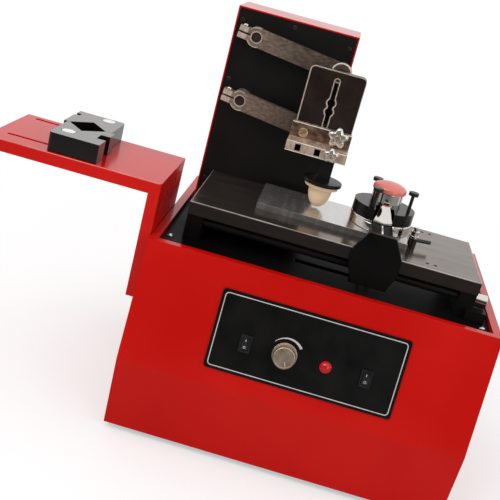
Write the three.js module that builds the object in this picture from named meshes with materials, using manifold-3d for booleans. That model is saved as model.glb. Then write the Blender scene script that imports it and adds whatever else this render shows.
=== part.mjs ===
import * as THREE from 'three';
import { ConvexGeometry } from 'three/addons/geometries/ConvexGeometry.js';
import { mergeVertices } from 'three/addons/utils/BufferGeometryUtils.js';
import Module from 'manifold-3d';

const wasm = await Module();
wasm.setup();

// All lengths are in millimetres. While building, X runs right from the casing's left wall,
// Y runs back from the casing's most forward line, and Z runs up from the ground.
// At the end the whole group is moved so that the origin is the middle of its footprint.

// Shared fits and sheet thickness
const fitGap = 0.3;
const sheet = 1.5;
const weldDistance = 0.0001;
const quarterTurn = Math.PI / 2;
const thinSides = 16;
const rodSides = 32;
const wideSides = 48;
const cornerSteps = 5;

// Casing: heights, and the side view of its front
const bodyBottom = 6;
const bodyHeight = 185.6;
const creaseRise = 72.3;
const frontLean = 24.8;
const frontUndercut = 5.8;
const rimWidth = 8;
const rimLip = 5;
const basePlateThickness = 3;
const deckThickness = 3;
const footRadius = 9;
const footTaper = 1.2;
const footInsetX = 30;
const footInsetFront = 40;
const footInsetBack = 29;
const bodyTop = bodyBottom + bodyHeight;
const creaseHeight = bodyBottom + creaseRise;
const standHeight = bodyTop - rimLip;
const deckTop = standHeight - fitGap;
const baseTop = bodyBottom + basePlateThickness;

// Bed, its supports and the rod under its front edge
const bedLeft = 24.5;
const bedWidth = 280;
const bedDepth = 122.3;
const bedThickness = 12.5;
const bedRise = 37;
const bedFrontSet = 39.2;
const bedRight = bedLeft + bedWidth;
const bedFront = frontLean + bedFrontSet;
const bedBack = bedFront + bedDepth;
const bedTop = standHeight + bedRise;
const bedUnder = bedTop - bedThickness;
const bedHoleRadius = 1.8;
const bedHoleDepth = 6;
const bedHoleSpacing = 8;
const bedHoleInsetX = 47.5;
const bedHoleInsetFront = 14;
const bedHoleInsetBack = 10.3;
const supportWidth = 15.5;
const supportInset = 2;
const rodRadius = 4;
const rodInset = 10;
const rodDrop = 7.5;
const rodEndReach = 1;
const rodY = bedFront + rodInset;
const rodHeight = bedUnder - rodDrop;
const footBlockInset = 6.5;
const footBlockReach = 12.5;
const footBlockSet = 4;
const footBlockDepth = 24;
const footBlockHeight = 10;
const rodKnobRadius = 6.5;
const rodKnobLength = 11;
const rodKnobPlug = 8;
const rodKnobPlugRadius = 2.2;

// Tower
const towerLeft = 10.8;
const towerWidth = 124.5;
const towerDepth = 64.6;
const towerPanelThickness = 2;
const towerBedGap = 0.5;
const towerRimGap = 2;
const towerTopReach = 25.1;
const towerRight = towerLeft + towerWidth;
const towerFront = bedBack + towerBedGap;
const towerBack = towerFront + towerDepth;

// Casing: its width and depth follow from what stands inside its rim
const bodyRightMargin = 25.5;
const bodyWidth = bedRight + bodyRightMargin;
const bodyDepth = towerBack + towerRimGap + rimWidth;

// Steel plate and its clamp lever
const steelWidth = 150;
const steelDepth = 75;
const steelThickness = 10;
const steelSink = 4;
const steelPadInset = 55.5;
const steelSeat = bedTop - steelSink;
const steelTop = steelSeat + steelThickness;
const clampSideGap = 0.8;
const clampInset = 15;
const clampRadius = 4.3;
const clampHeight = 9.7;
const clampCollarRadius = 4.9;
const clampCollarHeight = 2.4;
const clampNutRadius = 4;
const clampNutHeight = 4.4;
const clampStudRadius = 2.4;
const clampStudDepth = 7;
const clampStudReach = 3.8;
const clampRodRadius = 1.9;
const clampRodLength = 18.5;
const clampRodRise = 7.6;
const clampRodAngle = THREE.MathUtils.degToRad(16);

// Swing arms, front to back
const armLength = 91.7;
const armDroop = THREE.MathUtils.degToRad(7.4);
const armThickness = 8;
const armTowerGap = 2.8;
const armGap = 2;
const armHalfHeight = 9.4;
const armPivotX = 36;
const pivotSpacing = 63.5;
const hubRadius = 10.2;
const tipRadius = 10.6;
const lugReach = 19;
const lugHalfHeight = 6.3;
const lugSplit = 1.6;
const shaftRadius = 4.7;
const shaftInset = 2;
const shaftOverhang = 6;
const pinRadius = 4;
const bearingRadius = 7.5;
const bearingFlangeRadius = 9.5;
const bearingFlangeThickness = 2.2;
const bearingOverhang = 2.6;
const upperArmFront = towerFront - armTowerGap - armThickness;
const lowerArmFront = upperArmFront - armGap - armThickness;
const tipX = armPivotX + armLength * Math.cos(armDroop);

// Pad, its square post and its holder, from the steel plate up
const padClearance = 1.4;
const padHeight = 24.3;
const padFlangeRadius = 16.8;
const padFlangeHeight = 3.4;
const padTaper = 1.2;
const padDomeRadius = 11.6;
const padDomeSteps = 8;
const holderRadius = 19.3;
const holderThickness = 3.7;
const postLength = 21.4;
const postSide = 12.3;
const padTip = steelTop + padClearance;
const padTop = padTip + padHeight;
const holderBottom = padTop + fitGap;
const holderTop = holderBottom + holderThickness;
const postTop = holderTop + postLength;

// Head on the ends of the arms
const blockWidth = 60.5;
const blockHeight = 24.5;
const blockStep = 10;
const blockDepth = 32.5;
const blockWallDepth = 8;
const blockSideReach = 2.5;
const blockNotchWidth = 5.6;
const blockNotchHeight = 6.4;
const blockNotchDepth = 6;
const blockNotchLeftSet = 11.8;
const blockNotchRightSet = 31.3;
const headWidth = 57;
const headHeight = 86.5;
const headThickness = 6;
const headCorner = 5;
const headArmGap = 3;
const headTipReach = 30.4;
const headDrop = 5;
const upperPinDrop = 4.3;
const keySlotSet = 29;
const keySlotWidth = 4.5;
const keySlotRise = 29;
const keySlotTopDrop = 8;
const keyHoleRadius = 4;
const keyHoleRise = 54.3;
const keyHoleSpacing = 8.9;
const starSet = 47;
const starRise = 21;
const starLobes = 5;
const starCoreRadius = 7;
const starLobeRadius = 3.6;
const starLength = 8;
const starNeckLength = 4;
const starNeckRadius = 4.4;
const screwShankRadius = 2.4;
const postScrewSet = 45;
const postScrewRise = 6.6;
const postScrewCoreRadius = 4.9;
const postScrewLobeRadius = 2.6;
const postScrewLength = 6;
const postScrewDepth = 9;
const postSet = 44.5;
const postSetBack = 12;
const blockBottom = postTop + fitGap;
const blockTop = blockBottom + blockHeight;
const headBottom = blockBottom - headDrop;
const headTop = headBottom + headHeight;
const headFront = lowerArmFront - headArmGap - headThickness;
const headLeft = tipX - headTipReach;
const blockLeft = headLeft - blockSideReach;
const blockFront = headFront - blockDepth;
const blockStepFront = headFront - blockWallDepth;
const keySlotX = headLeft + keySlotSet;
const keySlotBottom = headBottom + keySlotRise;
const keySlotTop = headTop - keySlotTopDrop;
const keyHoleHeight = headBottom + keyHoleRise;
const starX = blockLeft + starSet;
const starHeight = blockBottom + starRise;
const postScrewX = blockLeft + postScrewSet;
const postScrewHeight = blockBottom + postScrewRise;
const postX = blockLeft + postSet;
const postY = blockFront + postSetBack;
const upperPivotZ = headTop - upperPinDrop + armLength * Math.sin(armDroop);
const lowerPivotZ = upperPivotZ - pivotSpacing;
const towerTop = upperPivotZ + towerTopReach;

// Pulleys and the frame inside the tower
const pulleyRadius = 14;
const pulleyFlangeRadius = 17;
const pulleyFlangeThickness = 1.5;
const pulleyWidth = 14;
const beltThickness = 1.5;
const beltWidth = 9;
const beltSlotReachX = 22;
const beltSlotReachY = 5;
const frameWallThickness = 4;
const frameSideGap = 1.7;
const frameWebGap = 9;
const frameWebThickness = 6;
const frameTopGap = 9.6;
const frameRearGap = 14.9;
const frameFootGap = 15.8;
const frameWallLeft = towerLeft + sheet + frameSideGap;
const frameWebLeft = armPivotX + pulleyFlangeRadius + frameWebGap;
const frameWallRight = frameWebLeft + frameWebThickness;
const frameFootRight = towerRight - sheet - frameFootGap;
const frameTop = towerTop - sheet - frameTopGap;
const frameFront = towerFront + towerPanelThickness + fitGap * 2;
const frameFrontBack = frameFront + frameWallThickness;
const frameRearWall = towerBack - sheet - frameRearGap - frameWallThickness;
const frameRearBack = frameRearWall + frameWallThickness;
const shaftEnd = frameRearBack + shaftOverhang;
const bearingEnd = frameFrontBack + bearingOverhang;
const pulleyFront = (frameFrontBack + frameRearWall - pulleyWidth) / 2;

// Drive inside the casing
const driveHeight = 120;
const gearboxWidth = 60;
const gearboxHeight = 60;
const gearboxDepth = 55;
const gearboxReach = 26;
const motorRadius = 28;
const motorLength = 90;
const outputRadius = 4;
const outputDepth = 12;
const standThickness = 4;
const standPulleyGap = 2.7;
const standHole = 7;
const gearboxLeft = armPivotX - gearboxReach;
const gearboxRight = gearboxLeft + gearboxWidth;
const motorX = (gearboxLeft + gearboxRight) / 2;
const gearboxLow = driveHeight - gearboxHeight / 2;
const gearboxTop = gearboxLow + gearboxHeight;
const standBack = pulleyFront - standPulleyGap;
const gearboxBack = standBack - standThickness - fitGap;
const gearboxFront = gearboxBack - gearboxDepth;
const motorFront = gearboxFront - motorLength;

// Ink cup and the ring that holds it
const cupPadDistance = 65.5;
const cupStroke = 65;
const ringRadius = 30.5;
const ringThickness = 11.7;
const cupFlangeHeight = 10.1;
const cupColumnRadius = 15;
const cupColumnReach = 14;
const cupHollowRadius = 27;
const cupColumnHollow = 12;
const cupHollowHeight = 7;
const cupRoof = 3;
const capRadius = 16.7;
const capHeight = 8.7;
const capEdgeHeight = 3;
const capDomeSteps = 6;
const thumbSet = 9;
const thumbCount = 3;
const thumbStemRadius = 1.7;
const thumbHeadRadius = 5;
const thumbHeadHeight = 3.5;
const thumbReach = 19.5;
const cupX = postX + cupPadDistance;
const cupY = postY;
const cupBottom = steelTop + fitGap;
const cupFlangeTop = cupBottom + cupFlangeHeight;
const ringBottom = cupFlangeTop + fitGap;
const ringTop = ringBottom + ringThickness;
const cupColumnTop = ringTop + cupColumnReach;
const thumbTop = ringTop + thumbReach;
const steelLeft = postX - steelPadInset;
const steelFront = cupY - steelDepth / 2;
const clampX = steelLeft + steelWidth + clampSideGap + clampRadius;
const clampY = steelFront + clampInset;

// Carriage that slides along the bed
const plateThickness = 6;
const plateBedGap = 4;
const plateWidth = 47;
const plateRise = 6.4;
const plateReach = 21;
const plateBottomShare = 0.7;
const plateTopShare = 0.55;
const plateLowShoulderShare = 0.33;
const plateHighShoulderShare = 0.62;
const sliderWidth = 36;
const sliderRodMargin = 8;
const sliderRise = 4.4;
const sliderBedGap = 0.8;
const slotPinRadius = 2.5;
const slotPinRise = 4;
const bridgeWidth = 20;
const bridgeThickness = 11.7;
const bridgeLift = 0.7;
const bridgeRingGap = 0.4;
const noseWidth = 18;
const noseReach = 12;
const noseRise = 6.5;
const noseSideSet = 7;
const noseLipHeight = 2.5;
const noseTipWidth = 5;
const plateFront = bedFront - plateBedGap - plateThickness;
const plateBottom = standHeight + plateRise;
const plateTop = bedTop + plateReach;
const sliderBack = rodY + sliderRodMargin;
const sliderBottom = standHeight + sliderRise;
const sliderTop = bedUnder - sliderBedGap;
const slotPinHeight = sliderBottom + slotPinRise;
const bridgeBack = cupY - ringRadius - bridgeRingGap;
const bridgeBottom = steelTop + bridgeLift;
const bridgeTop = bridgeBottom + bridgeThickness;
const noseFront = cupY - ringRadius - noseReach;
const noseBack = cupY - cupColumnRadius - fitGap;
const noseTop = ringTop + noseRise;

// Cup lever under the deck
const leverPivotRise = 27;
const leverSet = 6;
const leverThickness = 4;
const leverWidth = 10;
const leverHubRadius = 8;
const leverPinRadius = 3;
const leverPinReach = 4;
const leverForkWidth = 11.6;
const leverForkRoot = 7;
const leverForkTip = 7;
const leverPostWidth = 12;
const leverPostHead = 8;
const leverPostGap = 3;
const leverPostDepth = 6;
const leverSlotMargin = 6;
const leverSlotSide = 2.5;
const slotPinOverhang = 2;
const leverPivotX = cupX - cupStroke / 2;
const leverPivotZ = baseTop + leverPivotRise;
const leverFront = sliderBack + leverSet;
const leverBack = leverFront + leverThickness;
const leverPostTop = leverPivotZ + leverPostHead;
const leverPostFront = leverBack + leverPostGap;
const leverPostBack = leverPostFront + leverPostDepth;
const leverPinFront = leverFront - leverPinReach;
const slotPinEnd = leverBack + slotPinOverhang;
const leverSlotReach = cupStroke / 2 + leverSlotMargin;

// Control panel, measured along and up the sloped face from the crease
const panelLeft = 78.6;
const panelWidth = 176.2;
const panelLow = 16.7;
const panelTall = 75.3;
const panelCorner = 3;
const panelThickness = 1.5;
const controlRowShare = 0.409;
const leftSwitchShare = 0.1816;
const knobShare = 0.3916;
const lampShare = 0.6095;
const rightSwitchShare = 0.8224;
const switchWidth = 10.5;
const switchTall = 16.4;
const switchBezel = 1.6;
const switchCoreWidth = 8.6;
const switchCoreTall = 13.4;
const switchDepth = 15;
const switchWellWidth = 6.9;
const switchWellTall = 11.6;
const switchWellDepth = 6.4;
const switchTabWidth = 4.8;
const switchTabThickness = 0.8;
const switchTabLength = 6;
const switchTabSpacing = 7;
const rockerRadius = 5.4;
const rockerPivotRise = 1.1;
const rockerEndAngle = THREE.MathUtils.degToRad(16);
const rockerTilt = THREE.MathUtils.degToRad(10);
const rockerDip = 0.7;
const rockerSteps = 12;
const knobRadius = 11.65;
const knobHeight = 13;
const knobSkirtHeight = 2.4;
const knobGripRadius = 10.6;
const knobTopRadius = 9.6;
const knobBoreDepth = 9;
const potRadius = 8.5;
const potDepth = 10;
const potThreadRadius = 3.5;
const potShaftRadius = 3;
const potShaftLength = 8;
const boardWidth = 44;
const boardTall = 40;
const boardThickness = 1.6;
const lampFlangeRadius = 5.6;
const lampFlangeHeight = 1.4;
const lampDomeRadius = 4.4;
const lampDomeRise = 2.6;
const lampBarrelRadius = 3.9;
const lampBarrelLength = 18;
const lampDomeSteps = 5;
const controlRow = panelLow + panelTall * controlRowShare;
const leftSwitchX = panelLeft + panelWidth * leftSwitchShare;
const knobX = panelLeft + panelWidth * knobShare;
const lampX = panelLeft + panelWidth * lampShare;
const rightSwitchX = panelLeft + panelWidth * rightSwitchShare;

// Mains inlet in the back wall
const inletInset = 68;
const inletHeight = 58;
const inletFlangeWidth = 33;
const inletFlangeTall = 27;
const inletFlangeThickness = 2.5;
const inletCoreWidth = 27.4;
const inletCoreTall = 20.6;
const inletCoreDepth = 24;
const inletWellWidth = 24;
const inletWellTall = 16.6;
const inletWellDepth = 17;
const inletPinWidth = 2;
const inletPinTall = 4;
const inletPinLength = 11;
const inletPinSpacing = 7;
const inletPinDrop = 2;
const inletX = bodyWidth - inletInset;

// Work bracket on the left wall
const shelfLength = 166.5;
const shelfDepth = 106.3;
const shelfFront = 34.8;
const shelfRise = 48.8;
const shelfThickness = 2;
const shelfLip = 11.5;
const legHeight = 114;
const legFlangeReach = 10.7;
const legHoleRadius = 3;
const legHoleInset = 49.2;
const legHoleDrop = 14.4;
const legSlotWidth = 6;
const legSlotLength = 52.5;
const legSlotRise = 7.1;
const legSlotInsetFront = 25.2;
const legSlotInsetBack = 26.1;
const bracketScrewRise = 6.5;
const bracketShankRadius = 2.5;
const bracketHeadRadius = 8;
const bracketHeadThickness = 6;
const bracketNutRadius = 6;
const bracketNutThickness = 5;
const shelfRight = -fitGap;
const shelfLeft = shelfRight - shelfLength;
const shelfBack = shelfFront + shelfDepth;
const shelfTop = bodyTop + shelfRise;
const legBottom = shelfTop - legHeight;
const legHoleY = shelfFront + legHoleInset;
const legHoleZ = shelfTop - legHoleDrop;
const legSlotLow = legBottom + legSlotRise;
const legSlotHigh = legSlotLow + legSlotLength;
const legSlotFront = shelfFront + legSlotInsetFront;
const legSlotBack = shelfBack - legSlotInsetBack;
const bracketScrewZ = legSlotLow + bracketScrewRise;

// Jaws on the shelf
const jawThickness = 17.8;
const frontVeeReach = 90.2;
const rearVeeReach = 90.9;
const frontJawSideLeft = 20.5;
const frontJawSideRight = 27;
const rearJawSideLeft = 23.4;
const rearJawSideRight = 24;
const frontJawInset = 3.7;
const frontJawDepth = 51.2;
const rearJawDepth = 50;
const veeHalfWidth = 18;
const veeDepth = 20.5;
const frontNotchWidth = 9;
const frontNotchDepth = 15;
const frontNotchInset = 20.5;
const jawCornerRadius = 4;
const rearNotchWidth = 5;
const rearNotchDepth = 7;
const rearNotchInset = 18;
const frontJawScrewSide = 8.4;
const frontJawScrewInset = 19.5;
const rearJawScrewSide = 9.5;
const rearJawScrewInset = 8.6;
const jawHeadRadius = 6.5;
const jawHeadThickness = 4;
const jawShankRadius = 2.2;
const jawNutRadius = 5;
const jawNutThickness = 4;
const shelfSlotWidth = 5;
const frontSlotReachLeft = 56.5;
const frontSlotReachRight = 27.5;
const rearSlotReachLeft = 74;
const rearSlotReachRight = 9.5;
const frontVeeX = shelfRight - frontVeeReach;
const rearVeeX = shelfRight - rearVeeReach;
const frontJawLeft = frontVeeX - frontJawSideLeft;
const frontJawRight = frontVeeX + frontJawSideRight;
const frontJawFront = shelfFront + frontJawInset;
const frontJawBack = frontJawFront + frontJawDepth;
const rearJawLeft = rearVeeX - rearJawSideLeft;
const rearJawRight = rearVeeX + rearJawSideRight;
const rearJawFront = frontJawBack + fitGap;
const rearJawBack = rearJawFront + rearJawDepth;
const frontNotchY = frontJawFront + frontNotchInset;
const rearNotchY = rearJawBack - rearNotchInset;
const frontJawScrewX = frontVeeX - frontJawScrewSide;
const frontJawScrewY = frontJawFront + frontJawScrewInset;
const rearJawScrewX = rearVeeX + rearJawScrewSide;
const rearJawScrewY = rearJawBack - rearJawScrewInset;

// Directions used to lay shapes into other planes
const xAxis = new THREE.Vector3(1, 0, 0);
const yAxis = new THREE.Vector3(0, 1, 0);
const zAxis = new THREE.Vector3(0, 0, 1);
const layFacingFront = new THREE.Matrix4().makeBasis(xAxis, zAxis, yAxis.clone().negate());
const layFacingRight = new THREE.Matrix4().makeBasis(yAxis, zAxis, xAxis);

// The sloped front face: along X, up the slope, and straight out of the sheet
const leanAngle = Math.atan2(frontLean, bodyTop - creaseHeight);
const slopeUp = new THREE.Vector3(0, Math.sin(leanAngle), Math.cos(leanAngle));
const slopeOut = new THREE.Vector3(0, -Math.cos(leanAngle), Math.sin(leanAngle));
const layOnSlope = new THREE.Matrix4().makeBasis(xAxis, slopeUp, slopeOut);
layOnSlope.setPosition(0, 0, creaseHeight);

// Conversion between three.js geometry and closed solids

function signedVolume(points, triangles) {
  let volume = 0;
  const corner = (index) => new THREE.Vector3().fromArray(points, index * 3);
  for (let i = 0; i < triangles.length; i += 3) {
    const first = corner(triangles[i]);
    const second = corner(triangles[i + 1]);
    const third = corner(triangles[i + 2]);
    volume += first.dot(second.cross(third));
  }
  return volume;
}

function toSolid(geometry) {
  const bare = geometry.clone();
  bare.deleteAttribute('normal');
  bare.deleteAttribute('uv');
  const merged = mergeVertices(bare, weldDistance);
  const points = merged.getAttribute('position').array;
  const index = merged.getIndex().array;
  const kept = [];
  for (let i = 0; i < index.length; i += 3) {
    const [first, second, third] = [index[i], index[i + 1], index[i + 2]];
    if (first !== second && second !== third && third !== first) {
      kept.push(first, second, third);
    }
  }
  if (signedVolume(points, kept) < 0) {
    kept.reverse();
  }
  const mesh = new wasm.Mesh({
    numProp: 3,
    vertProperties: new Float32Array(points),
    triVerts: new Uint32Array(kept),
  });
  return new wasm.Manifold(mesh);
}

function toGeometry(solid) {
  const mesh = solid.getMesh();
  const geometry = new THREE.BufferGeometry();
  geometry.setAttribute('position', new THREE.BufferAttribute(new Float32Array(mesh.vertProperties), 3));
  geometry.setIndex(Array.from(mesh.triVerts));
  return geometry;
}

function join(base, ...others) {
  let solid = toSolid(base);
  for (const other of others) {
    solid = solid.add(toSolid(other));
  }
  return toGeometry(solid);
}

function cut(base, ...tools) {
  let solid = toSolid(base);
  for (const tool of tools) {
    solid = solid.subtract(toSolid(tool));
  }
  return toGeometry(solid);
}

// Simple forms

function box(left, right, front, back, bottom, top) {
  const geometry = new THREE.BoxGeometry(right - left, back - front, top - bottom);
  geometry.translate((left + right) / 2, (front + back) / 2, (bottom + top) / 2);
  return geometry;
}

function centredBox(width, tall, low, high, x, y) {
  return box(x - width / 2, x + width / 2, y - tall / 2, y + tall / 2, low, high);
}

function rodAlongX(radius, left, right, y, z, sides = rodSides) {
  const geometry = new THREE.CylinderGeometry(radius, radius, right - left, sides);
  geometry.rotateZ(quarterTurn);
  geometry.translate((left + right) / 2, y, z);
  return geometry;
}

function rodAlongY(radius, front, back, x, z, sides = rodSides) {
  const geometry = new THREE.CylinderGeometry(radius, radius, back - front, sides);
  geometry.translate(x, (front + back) / 2, z);
  return geometry;
}

function rodAlongZ(radius, bottom, top, x, y, sides = rodSides) {
  const geometry = new THREE.CylinderGeometry(radius, radius, top - bottom, sides);
  geometry.rotateX(quarterTurn);
  geometry.translate(x, y, (bottom + top) / 2);
  return geometry;
}

function turned(points, sides) {
  const profile = points.map(([radius, height]) => new THREE.Vector2(radius, height));
  return new THREE.LatheGeometry(profile, sides);
}

function turnedUp(points, x, y, sides = rodSides) {
  const geometry = turned(points, sides);
  geometry.rotateX(quarterTurn);
  geometry.translate(x, y, 0);
  return geometry;
}

function outline(points) {
  return new THREE.Shape(points.map(([across, up]) => new THREE.Vector2(across, up)));
}

function roundedCorner(centreAcross, centreUp, radius, start) {
  const arc = new THREE.EllipseCurve(centreAcross, centreUp, radius, radius, start, start + quarterTurn);
  return arc.getPoints(cornerSteps).map((point) => [point.x, point.y]);
}

function roundedOutline(left, right, low, high, radius) {
  const shape = new THREE.Shape();
  shape.absarc(right - radius, low + radius, radius, -quarterTurn, 0);
  shape.absarc(right - radius, high - radius, radius, 0, quarterTurn);
  shape.absarc(left + radius, high - radius, radius, quarterTurn, Math.PI);
  shape.absarc(left + radius, low + radius, radius, Math.PI, Math.PI + quarterTurn);
  shape.closePath();
  return shape;
}

function extruded(shape, length) {
  return new THREE.ExtrudeGeometry(shape, {
    depth: length,
    bevelEnabled: false,
    curveSegments: cornerSteps,
  });
}

function slabUp(shape, bottom, top) {
  const geometry = extruded(shape, top - bottom);
  geometry.translate(0, 0, bottom);
  return geometry;
}

function slabFacingFront(shape, front, back) {
  const geometry = extruded(shape, back - front);
  geometry.applyMatrix4(layFacingFront);
  geometry.translate(0, back, 0);
  return geometry;
}

function slabFacingRight(shape, left, right) {
  const geometry = extruded(shape, right - left);
  geometry.applyMatrix4(layFacingRight);
  geometry.translate(left, 0, 0);
  return geometry;
}

function slotUp(width, left, right, y, low, high) {
  const round = width / 2;
  return slabUp(roundedOutline(left, right, y - round, y + round, round), low, high);
}

// Casing

function bodySideOutline(inset) {
  return outline([
    [frontUndercut + inset, bodyBottom - inset],
    [bodyDepth - inset, bodyBottom - inset],
    [bodyDepth - inset, bodyTop - inset],
    [frontLean + inset, bodyTop - inset],
    [inset, creaseHeight],
  ]);
}

function onSlope(geometry) {
  return geometry.applyMatrix4(layOnSlope);
}

function controlHoles() {
  const reach = switchDepth;
  const width = switchCoreWidth + fitGap * 2;
  const tall = switchCoreTall + fitGap * 2;
  return [
    onSlope(centredBox(width, tall, -reach, reach, leftSwitchX, controlRow)),
    onSlope(centredBox(width, tall, -reach, reach, rightSwitchX, controlRow)),
    onSlope(rodAlongZ(potThreadRadius + fitGap, -reach, reach, knobX, controlRow)),
    onSlope(rodAlongZ(lampBarrelRadius + fitGap, -reach, reach, lampX, controlRow)),
  ];
}

function bodyShell() {
  const outer = slabFacingRight(bodySideOutline(0), 0, bodyWidth);
  const inner = slabFacingRight(bodySideOutline(sheet), sheet, bodyWidth - sheet);
  const lipSide = rimWidth - sheet;
  const lip = box(
    lipSide,
    bodyWidth - lipSide,
    frontLean + lipSide,
    bodyDepth - lipSide,
    bodyTop - rimLip,
    bodyTop,
  );
  const opening = box(
    rimWidth,
    bodyWidth - rimWidth,
    frontLean + rimWidth,
    bodyDepth - rimWidth,
    bodyTop - rimLip - sheet,
    bodyTop + sheet,
  );
  const screwHole = bracketShankRadius + fitGap;
  const inletHole = inletWindow(fitGap, bodyDepth - sheet * 2, bodyDepth + sheet);
  return cut(
    join(cut(outer, inner), lip),
    opening,
    rodAlongX(screwHole, -sheet, sheet * 2, legSlotFront, bracketScrewZ, thinSides),
    rodAlongX(screwHole, -sheet, sheet * 2, legSlotBack, bracketScrewZ, thinSides),
    inletHole,
    ...controlHoles(),
  );
}

function basePlate() {
  const edge = sheet + fitGap;
  const back = bodyDepth - edge;
  const plate = box(edge, bodyWidth - edge, frontUndercut + edge, back, bodyBottom, baseTop);
  const standFront = standBack - standThickness;
  const stand = box(gearboxLeft, gearboxRight, standFront, standBack, bodyBottom, gearboxTop);
  const shaftHole = rodAlongY(standHole, gearboxBack, standBack + sheet, armPivotX, driveHeight);
  const postLeft = leverPivotX - leverPostWidth / 2;
  const postRight = leverPivotX + leverPostWidth / 2;
  const post = box(postLeft, postRight, leverPostFront, leverPostBack, bodyBottom, leverPostTop);
  const pin = rodAlongY(leverPinRadius, leverPinFront, leverPostBack, leverPivotX, leverPivotZ);
  return join(plate, cut(stand, shaftHole), post, pin);
}

function foot(x, y) {
  const top = bodyBottom - fitGap;
  return turnedUp([
    [0, 0],
    [footRadius - footTaper, 0],
    [footRadius, footTaper],
    [footRadius, top],
    [0, top],
  ], x, y);
}

function deckPlate() {
  const edge = sheet + fitGap;
  const bottom = deckTop - deckThickness;
  const under = bottom - sheet;
  const over = deckTop + sheet;
  const plate = box(edge, bodyWidth - edge, frontLean + edge, bodyDepth - edge, bottom, deckTop);
  return cut(
    plate,
    box(
      leverPivotX - leverSlotReach,
      leverPivotX + leverSlotReach,
      leverFront - leverSlotSide,
      leverBack + leverSlotSide,
      under,
      over,
    ),
    box(
      armPivotX - beltSlotReachX,
      armPivotX + beltSlotReachX,
      pulleyFront - beltSlotReachY,
      pulleyFront + pulleyWidth + beltSlotReachY,
      under,
      over,
    ),
  );
}

// Tower

function towerShell() {
  const outer = box(towerLeft, towerRight, towerFront, towerBack, standHeight, towerTop);
  const inner = box(
    towerLeft + sheet,
    towerRight - sheet,
    towerFront - sheet,
    towerBack - sheet,
    standHeight - sheet,
    towerTop - sheet,
  );
  return cut(outer, inner);
}

function bearingHoles(front, back) {
  const radius = bearingRadius + fitGap;
  return [
    rodAlongY(radius, front - sheet, back + sheet, armPivotX, upperPivotZ),
    rodAlongY(radius, front - sheet, back + sheet, armPivotX, lowerPivotZ),
  ];
}

function towerPanel() {
  const edge = sheet + fitGap;
  const front = towerFront + fitGap;
  const back = front + towerPanelThickness;
  const plate = box(towerLeft + edge, towerRight - edge, front, back, standHeight, towerTop - edge);
  return cut(plate, ...bearingHoles(front, back));
}

function towerFrame() {
  const left = frameWallLeft;
  const right = frameWallRight;
  const lugTop = standHeight + frameWallThickness;
  const frontWall = box(left, right, frameFront, frameFrontBack, standHeight, frameTop);
  const rearWall = box(left, right, frameRearWall, frameRearBack, standHeight, frameTop);
  const web = box(frameWebLeft, right, frameFront, frameRearBack, standHeight, frameTop);
  const lug = box(frameWebLeft, frameFootRight, frameFront, frameRearBack, standHeight, lugTop);
  const shaftHole = shaftRadius + fitGap;
  const before = frameRearWall - sheet;
  const after = frameRearBack + sheet;
  return cut(
    join(frontWall, rearWall, web, lug),
    ...bearingHoles(frameFront, frameFrontBack),
    rodAlongY(shaftHole, before, after, armPivotX, upperPivotZ),
    rodAlongY(shaftHole, before, after, armPivotX, lowerPivotZ),
  );
}

function shaftBearing(armFront, pivotZ) {
  const flangeFront = armFront + armThickness + fitGap;
  const flangeBack = towerFront;
  const collar = rodAlongY(bearingFlangeRadius, flangeFront, flangeBack, armPivotX, pivotZ);
  const barrel = rodAlongY(bearingRadius, flangeFront, bearingEnd, armPivotX, pivotZ);
  const bore = rodAlongY(shaftRadius + fitGap, flangeFront - sheet, bearingEnd + sheet, armPivotX, pivotZ);
  return cut(join(collar, barrel), bore);
}

function longBearing() {
  const flangeFront = towerFront - bearingFlangeThickness;
  const neckFront = lowerArmFront + armThickness + fitGap;
  const collar = rodAlongY(bearingFlangeRadius, flangeFront, towerFront, armPivotX, lowerPivotZ);
  const barrel = rodAlongY(bearingRadius, neckFront, bearingEnd, armPivotX, lowerPivotZ);
  const boreRadius = shaftRadius + fitGap;
  const bore = rodAlongY(boreRadius, neckFront - sheet, bearingEnd + sheet, armPivotX, lowerPivotZ);
  return cut(join(collar, barrel), bore);
}

// Swing arms

function swingArm(front, pivotZ) {
  const back = front + armThickness;
  const bar = box(0, armLength, front, back, -armHalfHeight, armHalfHeight);
  const hub = rodAlongY(hubRadius, front, back, 0, 0);
  const tip = rodAlongY(tipRadius, front, back, armLength, 0);
  const lug = box(-lugReach, 0, front, back, -lugHalfHeight, lugHalfHeight);
  const split = box(-lugReach - sheet, 0, front - sheet, back + sheet, -lugSplit / 2, lugSplit / 2);
  const bore = rodAlongY(shaftRadius + fitGap, front - sheet, back + sheet, 0, 0);
  const tipBore = rodAlongY(pinRadius + fitGap, front - sheet, back + sheet, armLength, 0);
  const arm = cut(join(bar, hub, tip, lug), split, bore, tipBore);
  arm.rotateY(armDroop);
  arm.translate(armPivotX, 0, pivotZ);
  return arm;
}

function armShaft(armFront, pivotZ) {
  return rodAlongY(shaftRadius, armFront + shaftInset, shaftEnd, armPivotX, pivotZ);
}

function pulleyWheel(height) {
  const back = pulleyFront + pulleyWidth;
  const flange = pulleyFlangeThickness;
  return join(
    rodAlongY(pulleyRadius, pulleyFront, back, armPivotX, height),
    rodAlongY(pulleyFlangeRadius, pulleyFront, pulleyFront + flange, armPivotX, height),
    rodAlongY(pulleyFlangeRadius, back - flange, back, armPivotX, height),
  );
}

function armPulley() {
  const back = pulleyFront + pulleyWidth;
  const boreRadius = shaftRadius + fitGap;
  const bore = rodAlongY(boreRadius, pulleyFront - sheet, back + sheet, armPivotX, lowerPivotZ);
  return cut(pulleyWheel(lowerPivotZ), bore);
}

function motorPulley() {
  const start = gearboxBack - outputDepth;
  const shaft = rodAlongY(outputRadius, start, pulleyFront + pulleyWidth, armPivotX, driveHeight);
  return join(pulleyWheel(driveHeight), shaft);
}

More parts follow.
